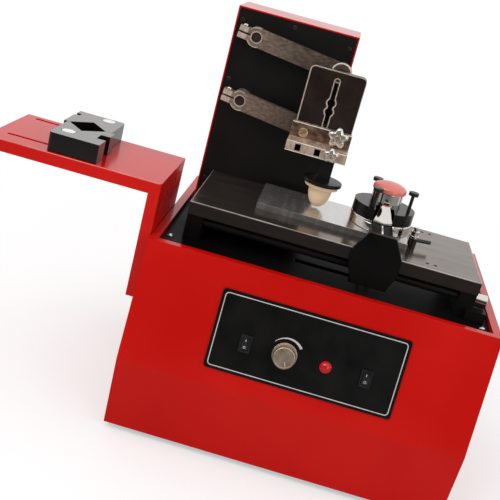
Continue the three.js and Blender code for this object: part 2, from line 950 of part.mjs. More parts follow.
function beltLoop(radius) {
  const shape = new THREE.Shape();
  shape.absarc(armPivotX, lowerPivotZ, radius, 0, Math.PI);
  shape.absarc(armPivotX, driveHeight, radius, Math.PI, Math.PI * 2);
  shape.closePath();
  return shape;
}

function armBelt() {
  const front = pulleyFront + (pulleyWidth - beltWidth) / 2;
  const back = front + beltWidth;
  const inside = pulleyRadius + fitGap;
  const outer = slabFacingFront(beltLoop(inside + beltThickness), front, back);
  const inner = slabFacingFront(beltLoop(inside), front - sheet, back + sheet);
  return cut(outer, inner);
}

function gearMotor() {
  const gearbox = box(gearboxLeft, gearboxRight, gearboxFront, gearboxBack, gearboxLow, gearboxTop);
  const motor = rodAlongY(motorRadius, motorFront, gearboxFront, motorX, driveHeight);
  const start = gearboxBack - outputDepth - fitGap;
  const bore = rodAlongY(outputRadius + fitGap, start, gearboxBack + sheet, armPivotX, driveHeight);
  return cut(join(gearbox, motor), bore);
}

// Head

function headPin(armFront, pivotZ) {
  const tipZ = pivotZ - armLength * Math.sin(armDroop);
  return rodAlongY(pinRadius, headFront, armFront + armThickness, tipX, tipZ);
}

function headPlate() {
  const back = headFront + headThickness;
  const right = headLeft + headWidth;
  const plate = slabFacingFront(
    roundedOutline(headLeft, right, headBottom, headTop, headCorner),
    headFront,
    back,
  );
  const before = headFront - sheet;
  const after = back + sheet;
  const half = keySlotWidth / 2;
  const slotShape = roundedOutline(keySlotX - half, keySlotX + half, keySlotBottom, keySlotTop, half);
  const pierced = cut(
    plate,
    slabFacingFront(slotShape, before, after),
    rodAlongY(keyHoleRadius, before, after, keySlotX, keyHoleHeight),
    rodAlongY(keyHoleRadius, before, after, keySlotX, keyHoleHeight - keyHoleSpacing),
  );
  return join(pierced, headPin(upperArmFront, upperPivotZ), headPin(lowerArmFront, lowerPivotZ));
}

function headBlock() {
  const right = blockLeft + blockWidth;
  const back = headFront - fitGap;
  const stepTop = blockBottom + blockStep;
  const notchTop = blockBottom + blockStep / 2 + blockNotchHeight / 2;
  const notchLow = notchTop - blockNotchHeight;
  const notch = (set) => box(
    blockLeft + set - blockNotchWidth / 2,
    blockLeft + set + blockNotchWidth / 2,
    blockFront - sheet,
    blockFront + blockNotchDepth,
    notchLow,
    notchTop,
  );
  const holeRadius = screwShankRadius + fitGap;
  const screwEnd = blockFront + postScrewDepth + fitGap;
  return cut(
    join(
      box(blockLeft, right, blockStepFront, back, blockBottom, blockTop),
      box(blockLeft, right, blockFront, back, blockBottom, stepTop),
    ),
    notch(blockNotchLeftSet),
    notch(blockNotchRightSet),
    rodAlongY(holeRadius, blockStepFront - sheet, back + sheet, starX, starHeight, thinSides),
    rodAlongY(holeRadius, blockFront - sheet, screwEnd, postScrewX, postScrewHeight, thinSides),
  );
}

function lobedHead(coreRadius, lobeRadius, front, back, x, z) {
  let head = rodAlongY(coreRadius, front, back, x, z);
  for (let lobe = 0; lobe < starLobes; lobe += 1) {
    const angle = quarterTurn + (lobe * Math.PI * 2) / starLobes;
    const lobeX = x + coreRadius * Math.cos(angle);
    const lobeZ = z + coreRadius * Math.sin(angle);
    head = join(head, rodAlongY(lobeRadius, front, back, lobeX, lobeZ, thinSides));
  }
  return head;
}

function starKnob() {
  const seat = blockStepFront - fitGap;
  const back = seat - starNeckLength;
  const end = headFront - fitGap * 2;
  return join(
    lobedHead(starCoreRadius, starLobeRadius, back - starLength, back, starX, starHeight),
    rodAlongY(starNeckRadius, back, seat, starX, starHeight),
    rodAlongY(screwShankRadius, back, end, starX, starHeight, thinSides),
  );
}

function postScrew() {
  const back = blockFront - fitGap;
  const front = back - postScrewLength;
  const end = blockFront + postScrewDepth;
  return join(
    lobedHead(postScrewCoreRadius, postScrewLobeRadius, front, back, postScrewX, postScrewHeight),
    rodAlongY(screwShankRadius, front, end, postScrewX, postScrewHeight, thinSides),
  );
}

function padPost() {
  const holder = rodAlongZ(holderRadius, holderBottom, holderTop, postX, postY, wideSides);
  const post = centredBox(postSide, postSide, holderBottom, postTop, postX, postY);
  return join(holder, post);
}

function siliconePad() {
  const domeTop = padTop - padFlangeHeight;
  const points = [
    [0, padTop],
    [padFlangeRadius, padTop],
    [padFlangeRadius - padTaper, domeTop],
  ];
  for (let step = 0; step <= padDomeSteps; step += 1) {
    const angle = (step / padDomeSteps) * quarterTurn;
    const radius = padDomeRadius * Math.cos(angle);
    const height = domeTop - (domeTop - padTip) * Math.sin(angle);
    points.push([step === padDomeSteps ? 0 : radius, height]);
  }
  return turnedUp(points, postX, postY);
}

// Bed

function bedPlate() {
  const pocketFloor = steelSeat - fitGap;
  const pocket = box(
    steelLeft - fitGap,
    steelLeft + steelWidth + fitGap,
    steelFront - fitGap,
    steelFront + steelDepth + fitGap,
    pocketFloor,
    bedTop + sheet,
  );
  const holes = [];
  const holeMiddle = bedRight - bedHoleInsetX;
  for (const y of [bedFront + bedHoleInsetFront, bedBack - bedHoleInsetBack]) {
    for (const side of [-1, 1]) {
      const x = holeMiddle + (side * bedHoleSpacing) / 2;
      holes.push(rodAlongZ(bedHoleRadius, bedTop - bedHoleDepth, bedTop + sheet, x, y, thinSides));
    }
  }
  const studBottom = bedTop - clampStudDepth - fitGap;
  const studHole = rodAlongZ(clampStudRadius + fitGap, studBottom, bedTop + sheet, clampX, clampY, thinSides);
  return cut(box(bedLeft, bedRight, bedFront, bedBack, bedUnder, bedTop), pocket, studHole, ...holes);
}

function steelPlate() {
  const right = steelLeft + steelWidth;
  const back = steelFront + steelDepth;
  return box(steelLeft, right, steelFront, back, steelSeat, steelTop);
}

function rodHole(left, right) {
  return rodAlongX(rodRadius + fitGap, left, right, rodY, rodHeight);
}

function bedSupportLeft() {
  const right = bedLeft + supportWidth;
  const front = bedFront + supportInset;
  const back = bedBack - supportInset;
  const support = box(bedLeft, right, front, back, standHeight, bedUnder - fitGap);
  return cut(support, rodHole(bedLeft - sheet, right + sheet));
}

function bedSupportRight() {
  const left = bedRight - supportWidth;
  const front = bedFront + supportInset;
  const back = bedBack - supportInset;
  const blockRight = bedRight + footBlockReach;
  const blockFace = bedFront - footBlockSet;
  const support = box(left, bedRight, front, back, standHeight, bedUnder - fitGap);
  const block = box(
    bedRight - footBlockInset,
    blockRight,
    blockFace,
    blockFace + footBlockDepth,
    standHeight,
    standHeight + footBlockHeight,
  );
  return cut(join(support, block), rodHole(left - sheet, blockRight + sheet));
}

function guideRod() {
  const right = bedRight - rodEndReach;
  const rod = rodAlongX(rodRadius, bedLeft + rodEndReach, right, rodY, rodHeight);
  const plugHole = rodKnobPlugRadius + fitGap;
  return cut(rod, rodAlongX(plugHole, right - rodKnobPlug, right + sheet, rodY, rodHeight, thinSides));
}

function rodKnob() {
  const left = bedRight + fitGap;
  const start = left - rodKnobPlug;
  const knob = rodAlongX(rodKnobRadius, left, left + rodKnobLength, rodY, rodHeight);
  return join(knob, rodAlongX(rodKnobPlugRadius, start, left + rodKnobLength, rodY, rodHeight, thinSides));
}

function plateClampLever() {
  const bottom = bedTop + fitGap;
  const top = bottom + clampHeight;
  const nutBottom = top + clampCollarHeight;
  const nutTop = nutBottom + clampNutHeight;
  const studTop = nutTop + clampStudReach;
  const hub = rodAlongZ(clampRadius, bottom, top, clampX, clampY);
  const collar = rodAlongZ(clampCollarRadius, top, nutBottom, clampX, clampY);
  const nut = rodAlongZ(clampNutRadius, nutBottom, nutTop, clampX, clampY);
  const stud = rodAlongZ(clampStudRadius, bedTop - clampStudDepth, studTop, clampX, clampY, thinSides);
  const handle = rodAlongX(clampRodRadius, 0, clampRodLength, 0, bottom + clampRodRise, thinSides);
  handle.rotateZ(clampRodAngle);
  handle.translate(clampX, clampY, 0);
  return join(hub, collar, nut, stud, handle);
}

// Ink cup carriage

function carriageFront() {
  const tall = plateTop - plateBottom;
  const half = plateWidth / 2;
  const bottomHalf = half * plateBottomShare;
  const topHalf = half * plateTopShare;
  const lowShoulder = plateBottom + tall * plateLowShoulderShare;
  const highShoulder = plateBottom + tall * plateHighShoulderShare;
  const shape = outline([
    [cupX - bottomHalf, plateBottom],
    [cupX + bottomHalf, plateBottom],
    [cupX + half, lowShoulder],
    [cupX + half, highShoulder],
    [cupX + topHalf, plateTop],
    [cupX - topHalf, plateTop],
    [cupX - half, highShoulder],
    [cupX - half, lowShoulder],
  ]);
  return slabFacingFront(shape, plateFront, plateFront + plateThickness);
}

function sliderBlock() {
  const left = cupX - sliderWidth / 2;
  const right = cupX + sliderWidth / 2;
  const front = plateFront + plateThickness + fitGap;
  const block = box(left, right, front, sliderBack, sliderBottom, sliderTop);
  const pin = rodAlongY(slotPinRadius, sliderBack - sheet, slotPinEnd, cupX, slotPinHeight, thinSides);
  return cut(join(block, pin), rodHole(left - sheet, right + sheet));
}

function carriageBridge() {
  const front = plateFront + plateThickness + fitGap;
  const half = bridgeWidth / 2;
  return box(cupX - half, cupX + half, front, bridgeBack, bridgeBottom, bridgeTop);
}

function wedgeNose() {
  const bottom = bridgeTop + fitGap;
  const lip = bottom + noseLipHeight;
  const half = noseWidth / 2;
  const side = noseFront + noseSideSet;
  const tipHalf = noseTipWidth / 2;
  const corners = [
    [cupX - tipHalf, noseBack, noseTop],
    [cupX + tipHalf, noseBack, noseTop],
  ];
  for (const height of [bottom, lip]) {
    corners.push(
      [cupX, noseFront, height],
      [cupX - half, side, height],
      [cupX + half, side, height],
      [cupX - half, noseBack, height],
      [cupX + half, noseBack, height],
    );
  }
  return new ConvexGeometry(corners.map(([x, y, z]) => new THREE.Vector3(x, y, z)));
}

function thumbPlace(number) {
  const angle = (number * Math.PI * 2) / thumbCount;
  const circle = cupColumnRadius + thumbSet;
  return [cupX + circle * Math.cos(angle), cupY + circle * Math.sin(angle)];
}

function clampRing() {
  const boreRadius = cupColumnRadius + fitGap;
  const noseHalf = noseWidth / 2 + fitGap;
  const below = ringBottom - sheet;
  const above = ringTop + sheet;
  const gap = box(cupX - noseHalf, cupX + noseHalf, cupY - ringRadius - sheet, cupY, below, above);
  const holes = [];
  for (let number = 0; number < thumbCount; number += 1) {
    const [x, y] = thumbPlace(number);
    holes.push(rodAlongZ(thumbStemRadius + fitGap, below, above, x, y, thinSides));
  }
  return cut(
    rodAlongZ(ringRadius, ringBottom, ringTop, cupX, cupY, wideSides),
    rodAlongZ(boreRadius, below, above, cupX, cupY, wideSides),
    gap,
    ...holes,
  );
}

function inkCup() {
  const hollowTop = cupBottom + cupHollowHeight;
  const columnHollowTop = cupColumnTop - cupRoof;
  return turnedUp([
    [cupHollowRadius, cupBottom],
    [ringRadius, cupBottom],
    [ringRadius, cupFlangeTop],
    [cupColumnRadius, cupFlangeTop],
    [cupColumnRadius, cupColumnTop],
    [0, cupColumnTop],
    [0, columnHollowTop],
    [cupColumnHollow, columnHollowTop],
    [cupColumnHollow, hollowTop],
    [cupHollowRadius, hollowTop],
    [cupHollowRadius, cupBottom],
  ], cupX, cupY, wideSides);
}

function cupCap() {
  const bottom = cupColumnTop + fitGap;
  const edgeTop = bottom + capEdgeHeight;
  const points = [
    [0, bottom],
    [capRadius, bottom],
  ];
  for (let step = 0; step <= capDomeSteps; step += 1) {
    const angle = (step / capDomeSteps) * quarterTurn;
    const radius = step === capDomeSteps ? 0 : capRadius * Math.cos(angle);
    points.push([radius, edgeTop + (capHeight - capEdgeHeight) * Math.sin(angle)]);
  }
  return turnedUp(points, cupX, cupY);
}

function thumbScrew(number) {
  const [x, y] = thumbPlace(number);
  const headLow = thumbTop - thumbHeadHeight;
  return join(
    rodAlongZ(thumbStemRadius, ringBottom + fitGap, headLow + sheet, x, y, thinSides),
    rodAlongZ(thumbHeadRadius, headLow, thumbTop, x, y, thinSides),
  );
}

// Cup lever, built upright about its pivot and then tilted to reach the slider's pin

function cupLever() {
  const pinDistance = slotPinHeight - leverPivotZ;
  const forkStart = pinDistance - leverForkRoot;
  const forkEnd = pinDistance + leverForkTip;
  const half = leverWidth / 2;
  const forkHalf = leverForkWidth / 2;
  const slotHalf = slotPinRadius + fitGap;
  const before = leverFront - sheet;
  const after = leverBack + sheet;
  const bar = box(-half, half, leverFront, leverBack, 0, forkStart);
  const hub = rodAlongY(leverHubRadius, leverFront, leverBack, 0, 0);
  const fork = box(-forkHalf, forkHalf, leverFront, leverBack, forkStart - leverWidth, forkEnd);
  const slot = box(-slotHalf, slotHalf, before, after, forkStart, forkEnd + sheet);
  const bore = rodAlongY(leverPinRadius + fitGap, before, after, 0, 0);
  const lever = cut(join(bar, hub, fork), slot, bore);
  lever.rotateY(Math.atan2(cupX - leverPivotX, slotPinHeight - leverPivotZ));
  lever.translate(leverPivotX, 0, leverPivotZ);
  return lever;
}

// Control panel

function controlPlate() {
  const low = fitGap;
  const right = panelLeft + panelWidth;
  const shape = roundedOutline(panelLeft, right, panelLow, panelLow + panelTall, panelCorner);
  return cut(onSlope(slabUp(shape, low, low + panelThickness)), ...controlHoles());
}

function faceHeight() {
  return fitGap * 2 + panelThickness;
}

function rockerHousing(x) {
  const face = faceHeight();
  const top = face + switchBezel;
  const bottom = face - switchDepth;
  const core = centredBox(switchCoreWidth, switchCoreTall, bottom, face + switchBezel / 2, x, controlRow);
  const bezel = centredBox(switchWidth, switchTall, face, top, x, controlRow);
  const well = centredBox(
    switchWellWidth,
    switchWellTall,
    top - switchWellDepth - switchBezel,
    top + sheet,
    x,
    controlRow,
  );
  const tab = (offset) => centredBox(
    switchTabWidth,
    switchTabThickness,
    bottom - switchTabLength,
    bottom + sheet,
    x,
    controlRow + offset,
  );
  const halfSpacing = switchTabSpacing / 2;
  return onSlope(join(cut(join(core, bezel), well), tab(halfSpacing), tab(-halfSpacing)));
}

function rocker(x) {
  const points = [];
  const sweep = Math.PI + rockerEndAngle * 2;
  for (let step = 0; step <= rockerSteps; step += 1) {
    const angle = rockerEndAngle - (sweep * step) / rockerSteps;
    points.push([rockerRadius * Math.cos(angle), rockerRadius * Math.sin(angle)]);
  }
  points.push([0, rockerRadius * Math.sin(rockerEndAngle) - rockerDip]);
  const width = switchWellWidth - fitGap * 2;
  const body = slabFacingRight(outline(points), -width / 2, width / 2);
  body.rotateX(-rockerTilt);
  body.translate(x, controlRow, faceHeight() + rockerPivotRise);
  return onSlope(body);
}

function speedKnob() {
  const face = faceHeight();
  const top = face + knobHeight;
  const skirtTop = face + knobSkirtHeight;
  const boreRadius = potShaftRadius + fitGap;
  const boreTop = face + knobBoreDepth;
  return onSlope(turnedUp([
    [boreRadius, face],
    [knobRadius, face],
    [knobRadius, skirtTop],
    [knobGripRadius, skirtTop],
    [knobTopRadius, top],
    [0, top],
    [0, boreTop],
    [boreRadius, boreTop],
    [boreRadius, face],
  ], knobX, controlRow, wideSides));
}

function speedBoard() {
  const wallBack = -sheet - fitGap;
  const potBack = wallBack - potDepth;
  const face = faceHeight();
  const pot = rodAlongZ(potRadius, potBack, wallBack, knobX, controlRow);
  const thread = rodAlongZ(potThreadRadius, wallBack - sheet, fitGap + panelThickness, knobX, controlRow);
  const shaft = rodAlongZ(potShaftRadius, wallBack, face + potShaftLength, knobX, controlRow);
  const board = centredBox(
    boardWidth,
    boardTall,
    potBack - boardThickness,
    potBack + fitGap,
    knobX,
    controlRow,
  );
  return onSlope(join(pot, thread, shaft, board));
}

function indicatorLamp() {
  const face = faceHeight();
  const flangeTop = face + lampFlangeHeight;
  const points = [
    [0, face - lampBarrelLength],
    [lampBarrelRadius, face - lampBarrelLength],
    [lampBarrelRadius, face],
    [lampFlangeRadius, face],
    [lampFlangeRadius, flangeTop],
  ];
  for (let step = 0; step <= lampDomeSteps; step += 1) {
    const angle = (step / lampDomeSteps) * quarterTurn;
    const radius = step === lampDomeSteps ? 0 : lampDomeRadius * Math.cos(angle);
    points.push([radius, flangeTop + lampDomeRise * Math.sin(angle)]);
  }
  return onSlope(turnedUp(points, lampX, controlRow));
}

// Mains inlet

function inletWindow(gap, front, back) {
  const halfWidth = inletCoreWidth / 2 + gap;
  const halfTall = inletCoreTall / 2 + gap;
  const low = inletHeight - halfTall;
  const high = inletHeight + halfTall;
  return box(inletX - halfWidth, inletX + halfWidth, front, back, low, high);
}

function mainsInlet() {
  const flangeFront = bodyDepth + fitGap;
  const flangeBack = flangeFront + inletFlangeThickness;
  const halfWidth = inletFlangeWidth / 2;
  const halfTall = inletFlangeTall / 2;
  const flange = box(
    inletX - halfWidth,
    inletX + halfWidth,
    flangeFront,
    flangeBack,
    inletHeight - halfTall,
    inletHeight + halfTall,
  );
  const core = inletWindow(0, flangeFront - inletCoreDepth, flangeFront + fitGap);
  const wellHalf = inletWellWidth / 2;
  const wellTallHalf = inletWellTall / 2;
  const well = box(
    inletX - wellHalf,
    inletX + wellHalf,
    flangeBack - inletWellDepth,
    flangeBack + sheet,
    inletHeight - wellTallHalf,
    inletHeight + wellTallHalf,
  );
  const pinStart = flangeBack - inletWellDepth - fitGap;
  const pin = (offset, drop) => box(
    inletX + offset - inletPinWidth / 2,
    inletX + offset + inletPinWidth / 2,
    pinStart,
    pinStart + inletPinLength,
    inletHeight - drop - inletPinTall / 2,
    inletHeight - drop + inletPinTall / 2,
  );
  return join(
    cut(join(flange, core), well),
    pin(-inletPinSpacing, inletPinDrop),
    pin(0, -inletPinDrop),
    pin(inletPinSpacing, inletPinDrop),
  );
}

// Work bracket

function workBracket() {
  const under = shelfTop - shelfThickness;
  const lipBottom = shelfTop - shelfLip;
  const webLeft = shelfRight - shelfThickness;
  const flangeLeft = shelfRight - legFlangeReach;
  const frontIn = shelfFront + shelfThickness;
  const backIn = shelfBack - shelfThickness;
  const shelf = box(shelfLeft, shelfRight, shelfFront, shelfBack, under, shelfTop);
  const frontLip = box(shelfLeft, shelfRight, shelfFront, frontIn, lipBottom, shelfTop);
  const backLip = box(shelfLeft, shelfRight, backIn, shelfBack, lipBottom, shelfTop);
  const web = box(webLeft, shelfRight, shelfFront, shelfBack, legBottom, shelfTop);
  const frontFlange = box(flangeLeft, shelfRight, shelfFront, frontIn, legBottom, shelfTop);
  const backFlange = box(flangeLeft, shelfRight, backIn, shelfBack, legBottom, shelfTop);
  const half = legSlotWidth / 2;
  const legSlot = (y) => slabFacingRight(
    roundedOutline(y - half, y + half, legSlotLow, legSlotHigh, half),
    webLeft - sheet,
    shelfRight + sheet,
  );
  const low = under - sheet;
  const high = shelfTop + sheet;
  return cut(
    join(shelf, frontLip, backLip, web, frontFlange, backFlange),
    legSlot(legSlotFront),
    legSlot(legSlotBack),
    rodAlongX(legHoleRadius, webLeft - sheet, shelfRight + sheet, legHoleY, legHoleZ, thinSides),
    slotUp(
      shelfSlotWidth,
      frontJawScrewX - frontSlotReachLeft,
      frontJawScrewX + frontSlotReachRight,
      frontJawScrewY,
      low,
      high,
    ),
    slotUp(
      shelfSlotWidth,
      rearJawScrewX - rearSlotReachLeft,
      rearJawScrewX + rearSlotReachRight,
      rearJawScrewY,
      low,
      high,
    ),
  );
}

function jawScrewHole(x, y) {
  const bottom = shelfTop;
  const top = shelfTop + fitGap + jawThickness;
  const seat = top - jawHeadThickness - fitGap;
  return [
    rodAlongZ(jawShankRadius + fitGap, bottom, top, x, y, thinSides),
    rodAlongZ(jawHeadRadius + fitGap, seat, top + sheet, x, y),
  ];
}

function frontJaw() {
  const bottom = shelfTop + fitGap;
  const turnX = frontJawLeft + jawCornerRadius;
  const turnY = frontJawFront + jawCornerRadius;
  const shape = outline([
    ...roundedCorner(turnX, turnY, jawCornerRadius, Math.PI),
    [frontJawRight, frontJawFront],
    [frontJawRight, frontNotchY],
    [frontJawRight - frontNotchWidth, frontNotchY],
    [frontJawRight - frontNotchWidth, frontNotchY + frontNotchDepth],
    [frontJawRight, frontNotchY + frontNotchDepth],
    [frontJawRight, frontJawBack],
    [frontVeeX + veeHalfWidth, frontJawBack],
    [frontVeeX, frontJawBack - veeDepth],
    [frontVeeX - veeHalfWidth, frontJawBack],
    [frontJawLeft, frontJawBack],
  ]);
  const block = slabUp(shape, bottom, bottom + jawThickness);
  return cut(block, ...jawScrewHole(frontJawScrewX, frontJawScrewY));
}

function rearJaw() {
  const bottom = shelfTop + fitGap;
  const turnX = rearJawRight - jawCornerRadius;
  const turnY = rearJawBack - jawCornerRadius;
  const shape = outline([
    [rearJawLeft, rearJawFront],
    [rearVeeX - veeHalfWidth, rearJawFront],
    [rearVeeX, rearJawFront + veeDepth],
    [rearVeeX + veeHalfWidth, rearJawFront],
    [rearJawRight, rearJawFront],
    ...roundedCorner(turnX, turnY, jawCornerRadius, 0),
    [rearJawLeft, rearJawBack],
    [rearJawLeft, rearNotchY + rearNotchDepth],
    [rearJawLeft + rearNotchWidth, rearNotchY + rearNotchDepth],
    [rearJawLeft + rearNotchWidth, rearNotchY],
    [rearJawLeft, rearNotchY],
  ]);
  const block = slabUp(shape, bottom, bottom + jawThickness);
  return cut(block, ...jawScrewHole(rearJawScrewX, rearJawScrewY));
}

function jawScrew(x, y) {
  const top = shelfTop + fitGap + jawThickness;
  const nutTop = shelfTop - shelfThickness - fitGap;
  const nutBottom = nutTop - jawNutThickness;
  return join(
    rodAlongZ(jawHeadRadius, top - jawHeadThickness, top, x, y),
    rodAlongZ(jawShankRadius, nutBottom, top, x, y, thinSides),
    rodAlongZ(jawNutRadius, nutBottom, nutTop, x, y, thinSides),
  );
}

function bracketScrew(y) {
  const headRight = shelfRight - shelfThickness - fitGap;
  const nutLeft = sheet + fitGap;
  const nutRight = nutLeft + bracketNutThickness;
  return join(
    rodAlongX(bracketHeadRadius, headRight - bracketHeadThickness, headRight, y, bracketScrewZ),
    rodAlongX(bracketShankRadius, headRight - fitGap, nutRight, y, bracketScrewZ, thinSides),
    rodAlongX(bracketNutRadius, nutLeft, nutRight, y, bracketScrewZ, thinSides),
  );
}

// Materials

function surface(colour, roughness, metalness) {
  return new THREE.MeshStandardMaterial({ color: colour, roughness, metalness });
}

const redPaint = () => surface(0xc2160f, 0.28, 0);
const blackPaint = () => surface(0x14110f, 0.3, 0);
const blackMatte = () => surface(0x1a1a1b, 0.6, 0);
const brushedSteel = () => surface(0x8d857c, 0.42, 1);
const polishedSteel = () => surface(0xb9b3ad, 0.18, 1);
const chromeFinish = () => surface(0xd4d0cb, 0.08, 1);
const machinedAluminium = () => surface(0xb5a99c, 0.35, 1);
const darkRubber = () => surface(0x151515, 0.85, 0);
const creamSilicone = () => surface(0xe6cfa6, 0.5, 0);
const plainSteel = () => surface(0x77736e, 0.5, 1);
const redLens = () => surface(0xb3141c, 0.15, 0);
const greenBoard = () => surface(0x1d5a37, 0.5, 0);

// Assembly

const machine = new THREE.Group();
machine.name = 'desktop_pad_printer';

function addPiece(name, geometry, material) {
  const shown = join(geometry).toNonIndexed();
  shown.computeVertexNormals();
  const mesh = new THREE.Mesh(shown, material);
  mesh.name = name;
  machine.add(mesh);
}

const footRight = bodyWidth - footInsetX;
const footBack = bodyDepth - footInsetBack;
addPiece('body_shell', bodyShell(), redPaint());
addPiece('base_plate', basePlate(), plainSteel());
addPiece('foot_front_left', foot(footInsetX, footInsetFront), darkRubber());
addPiece('foot_front_right', foot(footRight, footInsetFront), darkRubber());
addPiece('foot_rear_left', foot(footInsetX, footBack), darkRubber());
addPiece('foot_rear_right', foot(footRight, footBack), darkRubber());
addPiece('deck_plate', deckPlate(), blackPaint());

addPiece('tower_shell', towerShell(), redPaint());
addPiece('tower_panel', towerPanel(), blackPaint());
addPiece('tower_frame', towerFrame(), plainSteel());
addPiece('upper_bearing', shaftBearing(upperArmFront, upperPivotZ), plainSteel());
addPiece('lower_bearing', longBearing(), plainSteel());

addPiece('upper_arm', swingArm(upperArmFront, upperPivotZ), brushedSteel());
addPiece('lower_arm', swingArm(lowerArmFront, lowerPivotZ), brushedSteel());
addPiece('upper_shaft', armShaft(upperArmFront, upperPivotZ), plainSteel());
addPiece('lower_shaft', armShaft(lowerArmFront, lowerPivotZ), plainSteel());
addPiece('arm_pulley', armPulley(), plainSteel());
addPiece('motor_pulley', motorPulley(), plainSteel());
addPiece('arm_belt', armBelt(), darkRubber());
addPiece('gear_motor', gearMotor(), plainSteel());
addPiece('cup_lever', cupLever(), plainSteel());

addPiece('head_plate', headPlate(), blackPaint());
addPiece('head_block', headBlock(), machinedAluminium());
addPiece('star_knob', starKnob(), chromeFinish());
addPiece('post_screw', postScrew(), chromeFinish());
addPiece('pad_post', padPost(), blackPaint());
addPiece('silicone_pad', siliconePad(), creamSilicone());

addPiece('bed_plate', bedPlate(), blackPaint());
addPiece('steel_plate', steelPlate(), polishedSteel());
addPiece('bed_support_left', bedSupportLeft(), blackPaint());
addPiece('bed_support_right', bedSupportRight(), blackPaint());
addPiece('guide_rod', guideRod(), polishedSteel());
addPiece('rod_knob', rodKnob(), chromeFinish());
addPiece('plate_clamp_lever', plateClampLever(), chromeFinish());

addPiece('carriage_front', carriageFront(), blackPaint());
addPiece('slider_block', sliderBlock(), blackPaint());
addPiece('carriage_bridge', carriageBridge(), blackPaint());
addPiece('wedge_nose', wedgeNose(), chromeFinish());
addPiece('clamp_ring', clampRing(), blackPaint());
addPiece('ink_cup', inkCup(), chromeFinish());
addPiece('cup_cap', cupCap(), redPaint());
addPiece('thumb_screw_right', thumbScrew(0), blackMatte());
addPiece('thumb_screw_rear', thumbScrew(1), blackMatte());
addPiece('thumb_screw_front', thumbScrew(2), blackMatte());

addPiece('control_plate', controlPlate(), blackMatte());
addPiece('left_switch_housing', rockerHousing(leftSwitchX), blackMatte());
addPiece('left_rocker', rocker(leftSwitchX), blackMatte());
addPiece('right_switch_housing', rockerHousing(rightSwitchX), blackMatte());
addPiece('right_rocker', rocker(rightSwitchX), blackMatte());
addPiece('speed_knob', speedKnob(), machinedAluminium());
addPiece('speed_board', speedBoard(), greenBoard());
addPiece('indicator_lamp', indicatorLamp(), redLens());
addPiece('mains_inlet', mainsInlet(), blackMatte());

addPiece('work_bracket', workBracket(), redPaint());
addPiece('front_jaw', frontJaw(), blackPaint());
addPiece('rear_jaw', rearJaw(), blackPaint());
addPiece('front_jaw_screw', jawScrew(frontJawScrewX, frontJawScrewY), polishedSteel());
addPiece('rear_jaw_screw', jawScrew(rearJawScrewX, rearJawScrewY), polishedSteel());
addPiece('bracket_screw_front', bracketScrew(legSlotFront), plainSteel());
addPiece('bracket_screw_rear', bracketScrew(legSlotBack), plainSteel());

// The origin is the middle of the footprint, on the ground
const extent = new THREE.Box3().setFromObject(machine);
const middle = extent.getCenter(new THREE.Vector3());
for (const mesh of machine.children) {
  mesh.geometry.translate(-middle.x, -middle.y, -extent.min.z);
}

export default machine;
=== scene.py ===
import math

import bmesh
import bpy
from mathutils import Matrix, Vector


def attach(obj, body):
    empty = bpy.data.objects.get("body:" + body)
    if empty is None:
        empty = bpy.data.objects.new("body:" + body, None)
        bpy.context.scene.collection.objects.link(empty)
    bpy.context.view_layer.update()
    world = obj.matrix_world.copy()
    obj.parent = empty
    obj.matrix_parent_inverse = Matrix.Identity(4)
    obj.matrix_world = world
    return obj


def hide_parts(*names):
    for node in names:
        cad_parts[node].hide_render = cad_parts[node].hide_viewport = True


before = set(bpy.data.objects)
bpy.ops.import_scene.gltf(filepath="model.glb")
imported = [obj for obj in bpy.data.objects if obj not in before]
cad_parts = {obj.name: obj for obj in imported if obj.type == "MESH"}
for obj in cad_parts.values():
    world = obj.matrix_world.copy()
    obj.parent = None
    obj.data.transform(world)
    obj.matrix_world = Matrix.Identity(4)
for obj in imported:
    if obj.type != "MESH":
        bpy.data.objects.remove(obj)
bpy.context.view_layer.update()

MM = 0.001
# The CAD's origin, measured from the casing's left wall, most forward line and floor
ORIGIN = Vector((81.6, 128.7766, 0.0))
# Over the crease the casing's front leans back, up to its top
CREASE, CASING_TOP, LEAN_BACK = 78.3, 191.6, 24.8
LEAN = math.atan2(LEAN_BACK, CASING_TOP - CREASE)
# Height over the slope at which the controls stand: the panel plate and a gap on each side of it
FACE = 2.1


def at(x, y, z):
    """A point in metres from millimetres measured at the casing's left front corner."""
    return (Vector((x, y, z)) - ORIGIN) * MM


def slope_matrix(u, v, w):
    """Placement on the sloped front: u along X, v up the slope, w out of it, in millimetres."""
    up = Vector((0, math.sin(LEAN), math.cos(LEAN)))
    out = Vector((0, -math.cos(LEAN), math.sin(LEAN)))
    place = Vector((u, 0, CREASE)) + up * v + out * w
    basis = Matrix((Vector((1, 0, 0)), up, out)).transposed().to_4x4()
    basis.translation = (place - ORIGIN) * MM
    return basis


# Camera, fitted to the casing's edges in the photograph

EYE = (125.4, -713.7, 476.3)
YAW, PITCH, ROLL = -2.6, 20.0, 15.1
FOCAL_PIXELS, PHOTO_PIXELS, SENSOR = 880.8, 500, 36


def make_camera():
    yaw, pitch, roll = (math.radians(angle) for angle in (YAW, PITCH, ROLL))
    forward = Vector((math.sin(yaw) * math.cos(pitch), math.cos(yaw) * math.cos(pitch), -math.sin(pitch)))
    level = Vector((math.cos(yaw), -math.sin(yaw), 0))
    upright = level.cross(forward)
    right = level * math.cos(roll) + upright * math.sin(roll)
    up = upright * math.cos(roll) - level * math.sin(roll)
    data = bpy.data.cameras.new("camera")
    data.sensor_width = SENSOR
    data.lens = FOCAL_PIXELS / PHOTO_PIXELS * SENSOR
    data.clip_end = 50
    camera = bpy.data.objects.new("camera", data)
    place = Matrix((right, up, -forward)).transposed().to_4x4()
    place.translation = at(*EYE)
    camera.matrix_world = place
    bpy.context.collection.objects.link(camera)
    bpy.context.scene.camera = camera


# Materials

# The part of a noise's range that is stretched over a finish
NOISE_LOW, NOISE_HIGH = 0.3, 0.7

